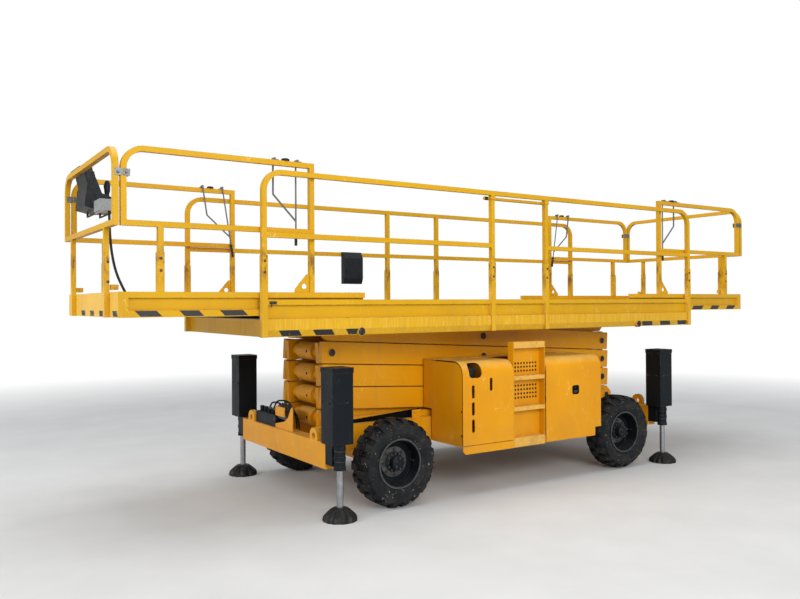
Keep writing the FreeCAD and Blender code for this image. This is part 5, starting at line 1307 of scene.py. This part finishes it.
def make_knobs(name, end):
    bm = bmesh.new()
    for side in BOTH:
        add_turned(bm, (end * KNOB_X, side * RAIL_Y, KNOB_TOP), (0, 0, 1), KNOB_PROFILE)
    new_piece("rail_knobs_" + name, bm, "extension_" + name, "dark_plastic", True)


# Small hardware on the rails and sills
SILL_FACE_Y = -0.9432
SILL_LATCH_X = (-2.628, -2.566)
SILL_LATCH_Z = (1.776, 1.800)
SILL_LATCH_T = 0.006
PIVOT_PLACE = (-2.606, SILL_FACE_Y - 0.004, 1.790)
PIVOT_PROFILE = ((0.010, 0), (0.010, 0.006), (0.008, 0.008))
HOOK_R = 0.005
LATCH_HOOK = ((-2.606, 0.006, 1.790), (-2.612, 0.012, 1.778), (-2.616, 0.014, 1.752))
SOCKET_X = (-2.671, -0.316, 0.387, 2.671)
SOCKET_BOLTS = (2.03, 2.12)
SOCKET_FACE_Y = 0.9580
POST_PLACE = (3.470, 0.9010)
LEG_PLACE = (3.786, 0.6355)
LEG_BOLTS = (1.95, 2.10)
LEG_LATCH_X = (3.768, 3.712)
LEG_LATCH_Y = 0.628
LEG_LATCH_HALF = 0.020
LEG_LATCH_Z = (1.890, 1.930)


def make_sill_latch():
    """A small plate with a hook and a pivot on the near sill."""
    bm = bmesh.new()
    add_block(bm, SILL_LATCH_X, (SILL_FACE_Y - SILL_LATCH_T, SILL_FACE_Y), SILL_LATCH_Z)
    hook = [(x, SILL_FACE_Y - out, z) for x, out, z in LATCH_HOOK]
    add_bar(bm, smooth_line(hook), HOOK_R)
    add_turned(bm, PIVOT_PLACE, (0, -1, 0), PIVOT_PROFILE, 16)
    new_piece("sill_latch", bm, "platform", "cap_metal")


def make_socket_bolts():
    bm = bmesh.new()
    for side in BOTH:
        for x in SOCKET_X:
            for z in SOCKET_BOLTS:
                add_bolt(bm, (x, side * SOCKET_FACE_Y, z), (0, side, 0), LARGE_BOLT)
    new_piece("socket_bolts", bm, "platform", "rusty_bolt")


def make_leg_hardware(name, end):
    """Bolts through the rails' posts and the end hoop's legs, and the latches at the legs' feet."""
    bm = bmesh.new()
    for side in BOTH:
        for (x, y), levels in ((POST_PLACE, SOCKET_BOLTS), (LEG_PLACE, LEG_BOLTS)):
            for z in levels:
                add_bolt(bm, (end * x, side * y, z), (0, side, 0), LARGE_BOLT)
    new_piece("leg_bolts_" + name, bm, "extension_" + name, "rusty_bolt")
    bm = bmesh.new()
    x_span = [end * x for x in LEG_LATCH_X]
    for side in BOTH:
        near_y = side * LEG_LATCH_Y - LEG_LATCH_HALF
        add_block(bm, x_span, (near_y, near_y + 2 * LEG_LATCH_HALF), LEG_LATCH_Z)
        add_bolt(bm, (sum(x_span) / 2, near_y, sum(LEG_LATCH_Z) / 2), (0, -1, 0), LARGE_BOLT)
    new_piece("leg_latches_" + name, bm, "extension_" + name, "yellow_paint")


# Light, floor and sky
FLOOR_HALF = 60.0
FLOOR_FADE = (7.0, 13.0)
SKY = (0.80, 0.83, 0.87, 1)
SKY_STRENGTH = 0.62
# Each lamp's place, what it points at, its size and its watts
LAMPS = {
    "key": ((-3.5, -12, 6), (0, 0, 1.2), (9, 5), 880),
    "top": ((0, 0, 12), (0, 0, 1), (12, 8), 640),
    "left": ((-12, 0.5, 5.2), (-2.1, 0, 0.6), (4, 1.5), 400),
}


def fading_floor():
    """Pale floor that turns to plain white away from the machine."""
    s = Shader("pale_floor")
    colour = s.mix(s.patches((1.5, 4.0, 0.55), (0.3, 0.7)), (0.66, 0.66, 0.65), (0.61, 0.61, 0.60))
    s.bump(s.noise(60.0, 3.0, 0.55), 0.03, 0.002)
    s.finish(colour, s.patches((4.0, 3.0, 0.55), (0.3, 0.7), (0.75, 0.9)))
    far = s.add("ShaderNodeVectorMath", {0: s.place}, operation="LENGTH")
    share = s.ramp(far.outputs["Value"], *FLOOR_FADE)
    mixed = s.blend(share, s.bsdf.outputs[0], s.add("ShaderNodeEmission").outputs[0])
    s.feed(s.tree.nodes["Material Output"], "Surface", mixed)
    return s.material


def make_floor():
    bm = bmesh.new()
    bmesh.ops.create_grid(bm, x_segments=1, y_segments=1, size=FLOOR_HALF)
    mesh = bpy.data.meshes.new("floor")
    bm.to_mesh(mesh)
    bm.free()
    new_object("floor", mesh, fading_floor())


def make_sky():
    """Soft pale light all round, which the camera sees as plain white."""
    scene.world = bpy.data.worlds.new("studio")
    w = NodeTree(scene.world)
    sky = w.tree.nodes["Background"]
    w.feed(sky, "Color", SKY)
    w.feed(sky, "Strength", SKY_STRENGTH)
    white = w.add("ShaderNodeBackground", {"Color": (1, 1, 1, 1)})
    rays = w.add("ShaderNodeLightPath").outputs
    sockets = {0: rays["Is Camera Ray"], 1: rays["Is Transmission Ray"]}
    either = w.add("ShaderNodeMath", sockets, operation="MAXIMUM")
    mixed = w.blend(either.outputs[0], sky.outputs[0], white.outputs[0])
    w.feed(w.tree.nodes["World Output"], "Surface", mixed)


def make_lamps():
    for name, (place, aim, size, watts) in LAMPS.items():
        data = bpy.data.lights.new(name, "AREA")
        data.shape = "RECTANGLE"
        data.size, data.size_y = size
        data.energy = watts
        lamp = link_object(name, data)
        lamp.location = place
        lamp.rotation_euler = (Vector(aim) - Vector(place)).to_track_quat("-Z", "Y").to_euler()


make_camera()
make_cable()
make_sky()
make_lamps()
make_floor()
dress_nodes()
for make in (make_main_markings, make_pin_caps, make_guide_rollers, make_outrigger_trim, make_treads,
             make_grille_shade_sheet, make_console_front, make_console_cheeks, make_hood_latches, make_filter,
             make_hoses, make_sill_latch, make_socket_bolts, make_valve_mount, make_valve_bank,
             make_tube_hole_shades, make_track_shades, make_brackets, make_spring_seats, make_box_seams, make_sleeves):
    make()
for end_name, end in ENDS.items():
    for make in (make_extension_markings, make_clamps, make_leg_hardware, make_knobs):
        make(end_name, end)
    for side_name, side in SIDES.items():
        place = side_name + "_" + end_name
        make_wheel(place, side)
        make_foot(place, end, side)

scene.view_settings.view_transform = "Standard"
